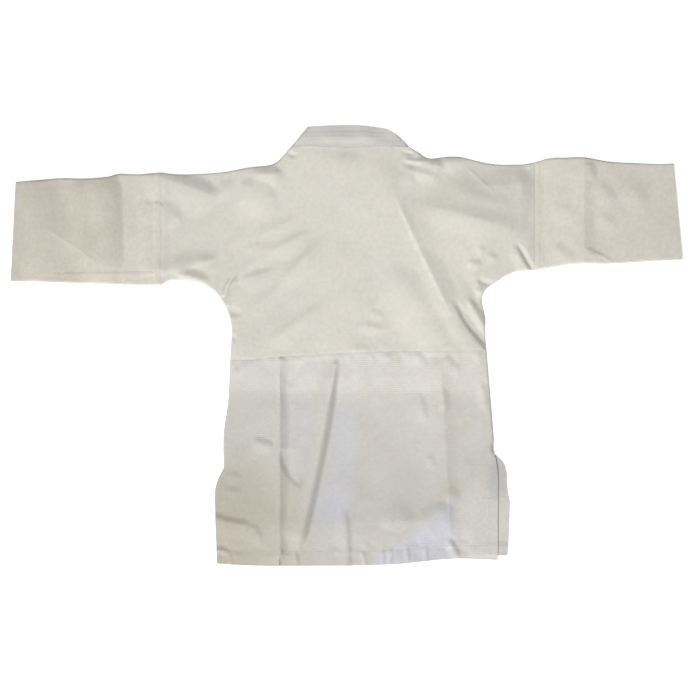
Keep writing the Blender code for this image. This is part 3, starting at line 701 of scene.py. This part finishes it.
def stitch_tree():
    """Geometry nodes that lay one stitch after the other along edges."""
    tree = bpy.data.node_groups.new("stitches", "GeometryNodeTree")
    sockets = {
        "Rows": "Geometry", "Pitch": "Float", "Length": "Float", "Thickness": "Float",
        "Unevenness": "Float", "Seed": "Int", "Thread": "Material",
    }
    for name, kind in sockets.items():
        tree.interface.new_socket(name, in_out="INPUT", socket_type="NodeSocket" + kind)
    tree.interface.new_socket("Stitches", in_out="OUTPUT", socket_type="NodeSocketGeometry")
    given = tree.nodes.new("NodeGroupInput").outputs
    curve = node(tree, "GeometryNodeMeshToCurve", given["Rows"])
    spots = node(tree, "GeometryNodeCurveToPoints", curve, None, given["Pitch"], mode="LENGTH")
    tangent = spots.node.outputs["Tangent"]
    turned = node(tree, "FunctionNodeAlignRotationToVector", None, None, tangent, axis="X")
    least = reckon(tree, "SUBTRACT", 1.0, given["Unevenness"])
    most = reckon(tree, "ADD", 1.0, given["Unevenness"])
    varied = tree.nodes.new("FunctionNodeRandomValue")
    tree.links.new(least, varied.inputs[2])
    tree.links.new(most, varied.inputs[3])
    tree.links.new(given["Seed"], varied.inputs["Seed"])
    half = reckon(tree, "MULTIPLY", given["Length"], 0.5)
    long = reckon(tree, "MULTIPLY", half, varied.outputs[1])
    thick = reckon(tree, "MULTIPLY", given["Thickness"], 0.5)
    size = node(tree, "ShaderNodeCombineXYZ", long, thick, thick)
    stitch = node(tree, "GeometryNodeMeshUVSphere", 6, 4, 1.0)
    laid_out = node(
        tree, "GeometryNodeInstanceOnPoints", spots, None, stitch, None, None, turned, size
    )
    real = node(tree, "GeometryNodeRealizeInstances", laid_out)
    smooth = node(tree, "GeometryNodeSetShadeSmooth", real)
    threaded = node(tree, "GeometryNodeSetMaterial", smooth, None, given["Thread"])
    tree.links.new(threaded, tree.nodes.new("NodeGroupOutput").inputs[0])
    return tree


def cotton_thread():
    """Spun thread, a little lighter and smoother than the cloth, with its twist."""
    material, tree, inputs, place = plain_material("cotton_thread", Roughness=0.6, Sheen_Weight=0.1)
    fibres = noise(tree, place, 300.0, 2.0, 0.5)
    colour = mixed(tree, fibres, (0.70, 0.67, 0.60, 1), (0.80, 0.78, 0.72, 1))
    tree.links.new(colour, inputs["Base Color"])
    twist = node(tree, "ShaderNodeTexWave", place, 900.0, 2.0, 2.0, 1.0, bands_direction="DIAGONAL")
    roughened(tree, inputs, twist, 0.6, 0.1)
    return material


STITCHING = stitch_tree()
THREAD = cotton_thread()
STITCH = {"Pitch": 3.2 * MM, "Length": 2.6 * MM, "Thickness": 0.75 * MM, "Unevenness": 0.15}


def sewn(name, paths, height, seed):
    """The stitches along the paths, on cloth whose outer face has that height."""
    rows = [np.column_stack([row, height(row) + 0.1]) for row in lines_of(*paths, offsets=(0.0,))]
    edges, start = [], 0
    for row in rows:
        edges += [(i, i + 1) for i in range(start, start + len(row) - 1)]
        start += len(row)
    mesh = bpy.data.meshes.new(name)
    mesh.from_pydata((np.vstack(rows) * MM).tolist(), edges, [])
    item = placed(name, mesh)
    modifier = item.modifiers.new("stitches", "NODES")
    modifier.node_group = STITCHING
    for socket in STITCHING.interface.items_tree:
        if socket.name in STITCH:
            modifier[socket.identifier] = STITCH[socket.name]
        elif socket.name == "Seed":
            modifier[socket.identifier] = seed
        elif socket.name == "Thread":
            modifier[socket.identifier] = THREAD
    seen = item.evaluated_get(bpy.context.evaluated_depsgraph_get())
    item.data = bpy.data.meshes.new_from_object(seen)
    item.modifiers.clear()
    bpy.data.meshes.remove(mesh)
    item.data.name = name
    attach(item, "root")


COLLAR_TOP = 4.5  # only the outer face of the upper layer reaches higher
LOWEST = 1.0  # and only that of the lower one reaches below this
behind_solid, outlines = outer_side("collar", 1, 3, COLLAR_TOP)
below, ends = outer_side("collar", -1, 2, LOWEST)
COLLAR_ROWS = (  # each row of stitches: its ends and its middle
    ((-57, 298.0), (8, 299.5), (70, 296.5)),
    ((-61, 292.6), (8, 293.6), (76, 291.6)),
    ((-66, 287.0), (8, 287.6), (80, 286.4)),
    ((-68, 284.0), (8, 284.4), (83, 283.4)),
    ((-70, 281.0), (8, 281.2), (85, 280.2)),
)
JOIN_ROWS = (  # and the short ones across it, where the band is joined
    ((5.6, 289.0), (5.6, 277.6)),
    ((14.0, 289.5), (14.0, 277.6)),
    ((21.0, 288.0), (21.0, 278.0)),
)
collar_rows = [np.array(row, float) for row in COLLAR_ROWS + JOIN_ROWS]


def behind(points):
    """Height of the collar's outer face behind the neck: it slopes to its top and right end."""
    x, y = points[:, 0], points[:, 1]
    height = behind_solid(points) + 0.7 * mottle(points, 16.0, 17) * rise(y, 278.0, 290.0)
    height -= 2.4 * rise(y, 284.0, 308.0) ** 1.5 + 3.0 * rise(x - 0.7 * (300 - y), 54.0, 92.0)
    return height + dips(points, collar_rows, 0.32, 0.9)


layers = [layer(outlines[0], behind, thick=BAND, spacing=FINE, marks=lines_of(*collar_rows))]
layers += [layer(end, below, thick=BAND, up=-1, spacing=FINE) for end in ends]
collar = piece("collar_cloth", *layers, joined=True, carries=True)
finish_cloth(collar, "collar", band_cloth)
sewn("collar_stitches", collar_rows, behind, seed=1)

# --- The back of the body -------------------------------------------------------------------
# One layer of the same cotton as the fronts, from sleeve to sleeve and from the collar to the
# waist. It lies loosely on the fronts, with the folds of a jacket just taken from its bag.

# Each fold: its ends, how far its middle bows to the left of the way from the first to the
# second, its width on that side and on the right, its height, or depth where it is less than 0,
# how sharp it is (less than 0: it has a sharp line not on its top but at its left foot), and over
# what length it grows at its first end and dies out at its second.
BODY_FOLDS = (  # x, y, x, y, bow, left, right, height, sharp, grows, dies
    (-262, 235, -176, 204, 0, 22, 44, 6.5, 0.3, 0, 26),
    (-156, 232, -188, 196, 0, 12, 16, 2.0, 0.2, 20, 20),
    (-252, 190, -230, 170, 0, 15, 26, 2.8, 0.3, 0, 14),
    (-142, 240, -86, 240, -2, 14, 28, 5.0, 0.4, 26, 18),
    (-154, 228, -92, 204, -2, 17, 46, 4.4, 0.3, 20, 24),
    (-150, 212, -84, 188, -2, 16, 26, 0.8, 0.2, 24, 26),
    (-84, 268, -68, 264, 0, 5, 6, -2.0, 0.4, 5, 7),
    (-256, 103, -168, 125, 0, 20, 9, 2.2, 0.1, 0, 40),
    (-244, 101, -190, 86, 1, 14, 8, 4.0, 0.4, 16, 16),
    (-216, 119, -174, 107, 0, 16, 20, 2.0, 0.2, 18, 18),
    (-153, 98, -172, 54, -3, 10, 3, 3.2, 0.8, 12, 0),
    (-163, 94, -175, 66, -2, 6, 3, 2.2, 0.8, 8, 4),
    (-174, 50, -144, 43, 0, 9, 9, -3.2, 0.4, 0, 14),
    (-166, 12, -152, 9, 0, 6, 6, -2.0, 0.4, 0, 7),
    (-154, 84, -94, 104, 4, 9, 22, 2.3, 0.4, 18, 34),
    (-102, 82, -40, 144, -3, 11, 26, 2.5, 0.3, 34, 34),
    (-118, 127, -44, 162, -2, 10, 22, 1.8, 0.3, 34, 34),
    (-96, 118, -66, 140, 0, 7, 12, 0.8, 0.3, 14, 14),
    (-150, 133, -100, 140, 0, 8, 16, 0.8, 0.3, 22, 22),
    (-132, 152, -56, 184, -2, 10, 20, 1.0, 0.3, 34, 34),
    (-122, -2, -26, 66, -4, 12, 26, 1.8, 0.3, 44, 44),
    (2, -7, 36, -8, 0, 10, 6, 1.4, 0.3, 12, 14),
    (4, 24, 62, 24, 0, 14, 12, 1.1, 0.3, 22, 22),
    (20, 29, 53, 19, 0, 8, 14, 1.0, 0.3, 12, 14),
    (31, 49, 56, 34, 0, 8, 14, 1.1, 0.3, 10, 12),
    (66, 211, 143, 46, -1, 11, 6, 1.7, 0.6, 40, 30),
    (100, 140, 147, 40, 0, 24, 50, 3.2, 0.4, 44, 24),
    (58, 112, 134, 0, 0, 32, 44, 3.6, 0.1, 40, 20),
    (146, 74, 194, 3, -3, 8, 10, -3.6, 0.4, 60, 0),
    (140, 66, 188, -1, -3, 8, 26, 2.4, 0.1, 30, 0),
    (166, 68, 196, 18, 0, 10, 9, 3.6, 0.3, 18, 10),
    (180, 92, 202, 84, 0, 7, 7, -2.6, 0.4, 8, 0),
    (176, 78, 206, 66, 0, 9, 9, 2.0, 0.3, 10, 0),
    (164, 115, 192, 111, 0, 8, 11, 2.0, 0.3, 10, 12),
    (192, 124, 212, 120, 0, 7, 9, 1.5, 0.3, 8, 9),
    (178, 134, 194, 130, 0, 7, 10, 1.2, 0.3, 7, 7),
    (84, 200, 248, 153, 4, 78, 150, 12.4, 0.55, 100, 62),
    (172, 220, 264, 226, 0, 32, 80, 5.6, 0.3, 60, 26),
    (165, 250, 208, 209, 0, 5, 5, 0.5, 0.8, 14, 18),
    (236, 147, 260, 104, 0, 5, 6, -2.2, 0.4, 20, 0),
    (229, 143, 253, 102, 0, 8, 14, 2.2, 0.3, 18, 0),
    (74, 270, 96, 266, 0, 4, 4, -1.8, 0.4, 8, 8),
    (94, 259, 140, 247, -1, 13, 32, 5.0, 0.4, 14, 18),
    (76, 260, 110, 255, -1, 5, 5, 1.8, 0.4, 10, 12),
    (74, 250, 134, 234, -4, 11, 36, 3.0, 0.4, 18, 28),
    (66, 243, 108, 222, -4, 10, 30, 0.9, 0.3, 18, 24),
    (120, 254, 176, 257, 0, 10, 16, 2.0, 0.3, 24, 30),
    (-24, 256, 26, 258, 0, 14, 40, 0.9, 0.2, 20, 20),
)


def bowed(x0, y0, x1, y1, bow):
    """The line of a fold."""
    start, end = np.array((x0, y0), float), np.array((x1, y1), float)
    ahead = (end - start) / np.linalg.norm(end - start)
    t = np.linspace(0, 1, 15)[:, None]
    return start + (end - start) * t + np.array((-ahead[1], ahead[0])) * bow * 4 * t * (1 - t)


def raised(points, rows):
    """Height of the folds at the points."""
    height = np.zeros(len(points))
    for x0, y0, x1, y1, bow, left, right, most, sharp, grows, dies in rows:
        path = bowed(x0, y0, x1, y1, bow)
        reach = max(left, right)
        near = (points > path.min(0) - reach) & (points < path.max(0) + reach)
        near = np.flatnonzero(near.all(1))
        if len(near) == 0:
            continue
        distance, _, _, side, along = nearest(points[near], [path])
        long = np.linalg.norm(np.diff(path, axis=0), axis=1).sum()
        share = np.ones(len(near))
        if grows:
            share *= rise(along, 0.0, grows)
        if dies:
            share *= rise(long - along, 0.0, dies)
        wide = np.where(side > 0, left, right) * (0.5 + 0.5 * share)
        q = np.clip(distance / wide, 0, 1)
        edged = np.where(side > 0, 1 - q**2, (1 - q**2) ** 2) if sharp < 0 else (1 - q) ** 1.6
        profile = (1 - abs(sharp)) * (1 - q**2) ** 2 + abs(sharp) * edged
        height[near] += most * profile * share
    return height


def sharp_ones(rows):
    """Close rows of points along the sharp folds and beside them, for their lines to stay clear."""
    paths = [bowed(*row[:5]) for row in rows if row[8] >= 0.6]
    return lines_of(*paths, offsets=(-3.0, -1.2, 0.0, 1.2, 3.0), step=2.5)


def streaks(points, turn, long, wide, seed):
    """A random height in long narrow swells that run at that angle."""
    c, s = np.cos(np.radians(turn)), np.sin(np.radians(turn))
    x, y = points[:, 0], points[:, 1]
    return mottle(np.column_stack([(x * c + y * s) / long, (y * c - x * s) / wide]), 1.0, seed)


def around(points, x, y, wide, high):
    """1 at that place, and less away from it."""
    return np.exp(-(((points[:, 0] - x) / wide) ** 2) - ((points[:, 1] - y) / high) ** 2)


def pressed_on(underside, points, under):
    """The underside of a layer, held up by what lies under it."""
    floor = looked_up(under, points) + 0.25
    over = underside - floor
    return floor + 0.5 * (over + np.sqrt(over**2 + 0.36))


UNGATHERED = 10.0  # from the seam, where two pieces have to meet, to the full gathers


def puckers(points, path, reach, size, most, seed):
    """Small uneven gathers beside a seam that die out away from it."""
    distance, _, _, _, along = nearest(points, [path])
    wave = mottle(np.column_stack([along, distance * 0.15]), size, seed)
    return most * wave * np.exp(-((distance / reach) ** 2)) * rise(distance, 0.0, UNGATHERED)


def met_at(path, own, other, reach=24.0):
    """What brings a piece's own height to the other's along their seam, and dies out from it."""
    line, at = evenly(path, 3.0)
    lift = other(line) - own(line)

    def height(points):
        distance, _, _, _, beside = nearest(points, [line])
        return np.interp(beside, at, lift) * np.exp(-((distance / reach) ** 2))

    return height


def upright(x, top, bottom):
    """A line down the jacket."""
    return np.array(((x, top), (x, bottom)))


WAIST = np.array((
    (-163.8, -21.0), (-126.4, -20.6), (-93.8, -16.4), (-35.4, -13.6), (11.2, -10.5), (57.8, -9.4),
    (195.2, -7.4),
))
WAIST_Y = (-23.0, -5.0)  # only the edges at the waist lie between these
WAIST_DIP = (0.4, 1.8)  # how deep the seam lies, and how wide
LAP_RISE = 1.1  # what the second layer adds
seam_left = upright(SEAM_LEFT, 242.0, 83.0)
seam_right = upright(SEAM_RIGHT, 256.0, 103.0)
body_rows = [upright(SEAM_LEFT + d, 241.0, 86.0) for d in (2.4, 5.6, 8.6)]
body_rows.append(upright(SEAM_RIGHT - 4.0, 253.0, 106.0))
BODY_STREAKS = (  # turn, length, width, seed, x, y, how far they reach each way, height
    (38.0, 52.0, 10.0, 26, -105.0, 105.0, 70.0, 75.0, 0.8),
    (-60.0, 46.0, 10.0, 27, 165.0, 60.0, 50.0, 70.0, 0.6),
    (-14.0, 50.0, 11.0, 28, 170.0, 215.0, 80.0, 40.0, 0.5),
)
BODY_GATHERS = (  # seam, how far they reach, size, height, seed
    (WAIST, 11.0, 9.0, 0.5, 23),
    (seam_left, 14.0, 12.0, 0.3, 24),
    (seam_right, 14.0, 12.0, 0.3, 25),
)
SOFT = 24  # rounds that leave only the soft form of a solid
SEAM_GIVE = 0.1  # each edge at a seam is drawn up so far, so that the two all but meet


def drawn_up(outlines, axis, start, end, by):
    """Moves the edge that lies between there."""
    for outline in outlines:
        for points, _ in outline:
            near = (points[:, axis] > start) & (points[:, axis] < end)
            points[near, axis] += by


solid_height, outlines = outer_side("back_body", 1, SOFT)
drawn_up(outlines, 1, *WAIST_Y, -SEAM_GIVE)
drawn_up(outlines, 0, SEAM_LEFT, SEAM_LEFT + 0.8, -SEAM_GIVE)
drawn_up(outlines, 0, SEAM_RIGHT - 0.8, SEAM_RIGHT, SEAM_GIVE)
under_back = laid  # it and all that is sewn to it lie on the fronts and beside the collar


def loose_back(points):
    """Height of the back's outer face, were it not sewn to the collar."""
    swells = 0.5 * mottle(points, 46.0, 21) + 0.22 * mottle(points, 17.0, 22)
    height = solid_height(points) + raised(points, BODY_FOLDS) + swells
    for turn, long, wide, seed, x, y, across, down, most in BODY_STREAKS:
        share = around(points, x, y, across, down)
        height += most * streaks(points, turn, long, wide, seed) * share
    height += dips(points, body_rows, 0.35, 1.1)
    height += dips(points, [WAIST], *WAIST_DIP) + dips(points, [seam_right], 0.8, 1.2)
    height += LAP_RISE * (1 - rise(points[:, 0], LAP_END - 0.5, LAP_END + 2.0))
    for gathers in BODY_GATHERS:
        height += puckers(points, *gathers)
    return pressed_on(height - CLOTH, points, under_back) + CLOTH


COLLAR_SEAM = np.array(((-79.0, 276.4), (88.0, 276.4)))
to_collar = met_at(COLLAR_SEAM, loose_back, lambda points: behind(points) - 0.6, 14.0)


def back_height(points):
    """Height of the back's outer face."""
    return loose_back(points) + to_collar(points)


body_marks = lines_of(*body_rows) + sharp_ones(BODY_FOLDS)
back = piece("back_body_cloth", layer(outlines[0], back_height, marks=body_marks))
finish_cloth(back, "back_body", body_cloth)
sewn("body_stitches", body_rows, back_height, seed=2)

# --- The back of the skirt ------------------------------------------------------------------
# The ribbed cotton, sewn to the fronts down to the vents. It keeps the sharp creases of its
# folding, one across each half, two down its length, and its hem is turned up and stitched.

CROSSWISE = (  # at y, the height of the folds that run from side to side
    (-310.0, -264.0, -248.0, -200.0, -110.0, -66.0, -44.0, -10.0),
    (3.0, 6.2, 6.6, 5.0, 1.4, 0.0, 1.2, 0.4),
)
SKIRT_FOLDS = (  # x, y, x, y, bow, left, right, height, sharp, grows, dies
    (-93.5, -15, -93, -290, 0, 14, 58, 6.2, 0.9, 90, 0),
    (-93.5, -15, -93.3, -105, 0, 13, 6, 3.6, 0.8, 7, 80),
    (130, -12, 146, -290, 0, 16, 40, 2.0, 0.9, 22, 0),
    (133, -56, 138, -98, 0, 9, 12, 1.6, 0.5, 14, 18),
    (-15, -8, -71, -290, 4, 12, 30, 8.2, 0.2, 80, 30),
    (-15, -17, -29, -92, 1, 9, 7, 2.8, 0.3, 12, 50),
    (-60, -22, -82, -62, 0, 8, 20, -2.4, 0.8, 10, 14),
    (-91, -143, -59, -199, -8, 30, 8, -2.6, 0.4, 12, 16),
    (-134, -133, -100, -144, 0, 10, 16, 2.8, 0.3, 12, 10),
    (-188, -239, -130, -251, -3, 9, 24, 3.2, 0.4, 0, 14),
    (-134, -248, -118, -284, 2, 9, 16, 2.4, 0.3, 10, 16),
    (-186, -284, -160, -291, 0, 7, 7, 2.2, 0.4, 0, 10),
    (-172, -182, -142, -186, 0, 9, 14, 1.2, 0.3, 10, 14),
    (-174, -202, -144, -206, 0, 8, 12, 1.2, 0.3, 10, 14),
    (-3, -222, 1, -306, 0, 8, 18, 2.8, 0.3, 30, 0),
    (98, -62, 110, -114, 0, 10, 20, 2.0, 0.3, 22, 22),
    (114, -148, 120, -176, 0, 8, 12, 1.3, 0.3, 12, 12),
    (42, -249, 100, -241, 0, 34, 16, 3.4, 0.3, 22, 26),
    (90, -254, 148, -222, 0, 18, 36, 3.6, 0.3, 24, 24),
    (134, -208, 160, -212, 0, 16, 14, 1.8, 0.3, 10, 12),
    (138, -267, 156, -298, 0, 8, 10, 2.6, 0.3, 12, 6),
    (187, -50, 195, -96, 0, 9, 12, 2.0, 0.3, 16, 16),
    (132, -16, 160, -42, 0, 10, 14, 1.4, 0.3, 10, 14),
    (-162, -44, -128, -22, 0, 9, 12, 1.6, 0.3, 12, 10),
    (-92, -280, -91, -306, 0, 4, 7, 1.6, 0.4, 10, 0),
    (-73, -284, -69, -306, 0, 4, 7, 1.8, 0.4, 10, 0),
    (20, -284, 26, -306, 0, 4, 5, 1.6, 0.4, 10, 0),
    (50, -282, 50, -304, 0, 4, 5, 1.5, 0.4, 10, 0),
    (62, -280, 60, -303, 0, 4, 5, 1.5, 0.4, 10, 0),
    (83, -276, 85, -300, 0, 4, 6, 1.8, 0.4, 10, 0),
    (109, -276, 111, -300, 0, 4, 6, 1.5, 0.4, 10, 0),
    (-166, -288, -160, -306, 0, 4, 6, 1.4, 0.4, 10, 0),
)
HEM_STITCH = np.array((
    (-182.0, -285.5), (-128.8, -288.2), (6.6, -288.4), (74.2, -286.0), (146.6, -279.0),
    (197.0, -281.0),
))
VENT_STITCHES = (  # round the facing of the right vent and across its top, then at the left vent
    ((208.0, -158.0), (201.0, -159.0), (197.6, -166.0), (196.8, -180.0), (196.8, -300.0)),
    ((199.6, -172.0), (199.6, -300.0)),
    ((178.0, -166.0), (177.0, -214.0)),
    ((189.6, -178.0), (189.2, -250.0)),
    ((192.6, -186.0), (192.6, -238.0)),
    ((183.0, -214.5), (210.0, -215.0)),
    ((-174.0, -182.0), (-173.6, -200.0), (-173.6, -303.0)),
    ((-178.0, -246.0), (-178.0, -303.0)),
    ((-181.4, -246.0), (-181.6, -303.0)),
)
skirt_rows = [HEM_STITCH] + [np.array(row) for row in VENT_STITCHES]
VENT_EDGE = np.array(((206.0, -150.0), (210.5, -163.0), (212.0, -180.0), (212.0, -300.0)))
VENT_OPEN = 0.8  # between the back and the front there

skirt_solid, outlines = outer_side("back_skirt", 1, SOFT)
drawn_up(outlines, 1, *WAIST_Y, SEAM_GIVE)


def loose_skirt(points):
    """Height of the skirt's outer face, were it not sewn to the body."""
    x, y = points[:, 0], points[:, 1]
    swells = 0.45 * mottle(points, 52.0, 31) + 0.2 * mottle(points, 19.0, 32)
    crosswise = np.interp(y, *CROSSWISE) * (1 - 0.8 * rise(x, 80.0, 200.0))
    height = skirt_solid(points) + raised(points, SKIRT_FOLDS) + swells + crosswise
    height += dips(points, skirt_rows, 0.28, 1.2) + dips(points, [WAIST], *WAIST_DIP)
    height += puckers(points, WAIST, 15.0, 6.0, 0.9, 33)
    height += puckers(points, HEM_STITCH, 12.0, 8.0, 1.0, 34)
    height += 0.5 * rise(-y, 284.0, 288.0)  # the second ply of the hem
    lies = looked_up(under_back, points) + CLOTH + VENT_OPEN
    near_vent = np.exp(-((nearest(points, [VENT_EDGE])[0] / 30.0) ** 2))
    height += (lies - height) * near_vent
    return pressed_on(height - CLOTH, points, under_back) + CLOTH


to_body = met_at(WAIST, loose_skirt, back_height, 55.0)


def skirt_height(points):
    """Height of the skirt's outer face."""
    return loose_skirt(points) + to_body(points)


skirt_marks = lines_of(*skirt_rows) + sharp_ones(SKIRT_FOLDS)
skirt = piece("back_skirt_cloth", layer(outlines[0], skirt_height, marks=skirt_marks))
finish_cloth(skirt, "back_skirt", skirt_cloth)
sewn("skirt_stitches", skirt_rows, skirt_height, seed=3)
inside_rows = [  # on the inside of the right front, past the vent: its hem and its facing
    np.array(((213.5, HEM_TOP - 3.0), (225.0, HEM_TOP - 3.0))),
    np.array(((221.5, -171.0), (223.0, -212.0), (222.5, HEM_TOP))),
    np.array(((213.5, -212.8), (224.5, -212.8))),
]


def inside_height(points):
    """Height of the right front's inside, which is up."""
    return right_skirt(points) + hemmed(points)


sewn("vent_stitches", inside_rows, inside_height, seed=4)

# --- The sleeves ----------------------------------------------------------------------------
# Each is one piece of the grained cotton, closed to a tube and laid flat, open at the cuff. It
# is set on with a lapped seam that is stitched through several times.

SLEEVE_TINTS = ((0.712, 0.678, 0.600), (0.686, 0.652, 0.572), (0.708, 0.680, 0.615))
CREASE = (-322.0, -312.0)  # of the left sleeve, out from which it is darker and yellower: the darkening is painted shade of its outer slope, the yellower tone is the cloth's own
# painted shade, with a yellower tone, out from the crease
YELLOWER_WITH_PAINTED_SHADE = tinted(*CREASE, (-0.045, -0.055, -0.085))


def coarse(tree, x, y):
    """The grains of the sleeves, which show most on that part."""
    grain = reckon(tree, "SUBTRACT", grains(1.95, 1.95)(tree, x, y), 0.5)
    return reckon(tree, "MULTIPLY_ADD", grain, ramp(tree, x, *CREASE, 1.0, 0.4), 0.5)


sleeve_cloth = woven(
    "sleeve_cotton", SLEEVE_TINTS, coarse,
    depth=0.38, shows=(0.2, 1.0), tone=YELLOWER_WITH_PAINTED_SHADE, contrast=0.24, uneven=0.32,
)
SLEEVE_FOLDS = (  # x, y, x, y, bow, left, right, height, sharp, grows, dies
    (-347, 272, -342, 56, 0, 32, 46, 9.6, -0.9, 66, 66),
    (-436, 264, -446, 64, 6, 44, 24, 7.4, 0.1, 74, 60),
    (-378, 236, -361, 104, 0, 12, 16, 1.8, 0.3, 24, 24),
    (-420, 162, -340, 107, 2, 8, 4, 0.6, 0.7, 12, 40),
    (-290, 236, -282, 90, 6, 12, 16, 1.0, 0.1, 30, 30),
    (-404, 99.0, -268, 100.0, 0, 4, 8, 0.6, 0.3, 16, 0),
    (331, 266, 331, 110, 0, 18, 60, 2.3, 0.9, 0, 0),
    (336, 256, 346, 226, 0, 10, 16, 1.6, 0.3, 6, 14),
    (343, 230, 377, 195, 0, 14, 20, 1.3, 0.2, 16, 18),
    (350, 184, 379, 158, 0, 14, 20, 1.2, 0.3, 14, 16),
    (284, 199, 319, 174, 0, 16, 22, 1.3, 0.3, 16, 18),
    (284, 142, 317, 114, 0, 14, 20, 1.8, 0.3, 14, 12),
    (331, 135, 357, 117, 0, 9, 12, 1.5, 0.3, 8, 12),
    (342, 131, 373, 115, 0, 6, 4, 0.9, 0.6, 10, 12),
    (390, 230, 420, 180, 0, 22, 24, 1.2, 0.2, 24, 24),
)
UNDERARM_STITCH = np.array(((-409.0, 101.5), (-340.0, 101.0), (-268.0, 102.5)))
left_rows = [upright(SEAM_LEFT - d, 238.0, 87.0) for d in (1.6, 4.9, 8.2)] + [UNDERARM_STITCH]
right_rows = [upright(SEAM_RIGHT + d, 256.0, 108.0) for d in (9.0, 12.6)]
SLEEVE_TOP = 3.2  # only the outer face of a sleeve's upper layer reaches higher

for name, seam, sleeve_rows, seed, lap_rise in (
    ("sleeve_left", seam_left, left_rows, 41, LAP_RISE),
    ("sleeve_right", seam_right, right_rows, 51, 0.0),
):
    solid_top, outlines = outer_side(name, 1, SOFT, SLEEVE_TOP)
    drawn_up(outlines, 0, SEAM_LEFT - 0.8, SEAM_LEFT, SEAM_GIVE)
    drawn_up(outlines, 0, SEAM_RIGHT, SEAM_RIGHT + 0.8, -SEAM_GIVE)
    solid_low, _ = outer_side(name, -1, 6, LOWEST)

    def low_height(points):
        """Height of the lower layer's outer face, which is down."""
        return solid_low(points) + 0.2 * (1 + np.clip(mottle(points, 34.0, seed + 3), -1, 1))

    under = layer(outlines[0], low_height, up=-1, spacing=FINE)
    under_heights, under_known = cast(under[0], under[1], 1)
    under_top = np.where(under_known, np.maximum(under_back, under_heights), under_back)

    def loose_top(points):
        """Height of the upper layer's outer face, were it not sewn to the back."""
        swells = 0.45 * mottle(points, 40.0, seed) + 0.22 * mottle(points, 15.0, seed + 1)
        height = solid_top(points) + raised(points, SLEEVE_FOLDS) + swells
        height += dips(points, sleeve_rows, 0.35, 1.1) + dips(points, [seam], 0.35, 1.4)
        height += lap_rise * rise(points[:, 0], SEAM_LEFT - LAP, SEAM_LEFT - LAP + 2.5)
        height += puckers(points, seam, 12.0, 12.0, 0.3, seed + 2)
        return pressed_on(height - CLOTH, points, under_top) + CLOTH

    to_back = met_at(seam, loose_top, back_height)

    def top_height(points):
        return loose_top(points) + to_back(points)

    sleeve_marks = lines_of(*sleeve_rows) + sharp_ones(SLEEVE_FOLDS)
    over = layer(outlines[0], top_height, marks=sleeve_marks)
    sleeve = piece(name + "_cloth", over, under, joined=True)
    finish_cloth(sleeve, name, sleeve_cloth)
    sewn(name + "_stitches", sleeve_rows, top_height, seed)

# --- The surface, the light and the camera --------------------------------------------------
# A plain white surface, a broad light over the middle of the jacket and a far one from beyond
# its hem, and a camera with a long lens that looks straight down.

HALF = 4.0  # of the surface's side, in metres
PHOTO_WIDTH = 980.0  # of what the picture takes in
LENS = 85.0
SENSOR = 36.0
VIEW_X, VIEW_Y = 4.2, -7.0
OVERHEAD = (0.0, 0.06, 0.95)  # in metres: it shines straight down
OVERHEAD_SIZE = 0.45
OVERHEAD_WATTS = 4.3
WINDOW_WAY = (0.45, 0.89, -0.7)  # where its light goes
WINDOW_ANGLE = 14.0  # how wide it looks from the jacket
WINDOW_STRENGTH = 2.3
SKY_STRENGTH = 0.13

floor_mesh = bpy.data.meshes.new("floor")
corners = [(-HALF, -HALF, 0), (HALF, -HALF, 0), (HALF, HALF, 0), (-HALF, HALF, 0)]
floor_mesh.from_pydata(corners, [], [(0, 1, 2, 3)])
floor = placed("floor", floor_mesh)
white, _, _, _ = plain_material(
    "floor_white",
    Base_Color=(0.9, 0.9, 0.9, 1),
    Roughness=0.9,
    Emission_Color=(1, 1, 1, 1),
    Emission_Strength=0.6,
)
floor_mesh.materials.append(white)

lamp = bpy.data.lights.new("overhead", "AREA")
lamp.shape = "SQUARE"
lamp.size = OVERHEAD_SIZE
lamp.energy = OVERHEAD_WATTS
overhead = placed("overhead", lamp)
overhead.location = OVERHEAD
overhead.rotation_euler = Vector((0, 0, -1)).to_track_quat("-Z", "Y").to_euler()
sun = bpy.data.lights.new("window", "SUN")
sun.angle = np.radians(WINDOW_ANGLE)
sun.energy = WINDOW_STRENGTH
window = placed("window", sun)
window.rotation_euler = Vector(WINDOW_WAY).to_track_quat("-Z", "Y").to_euler()

scene = bpy.context.scene
scene.world = bpy.data.worlds.new("studio")
scene.world.use_nodes = True
sky = scene.world.node_tree.nodes["Background"].inputs
sky["Color"].default_value = (1, 1, 1, 1)
sky["Strength"].default_value = SKY_STRENGTH
scene.view_settings.view_transform = "Standard"

camera = placed("camera", bpy.data.cameras.new("camera"))
camera.data.lens = LENS
camera.data.sensor_width = SENSOR
camera.location = (VIEW_X * MM, VIEW_Y * MM, PHOTO_WIDTH * MM * LENS / SENSOR)
scene.camera = camera
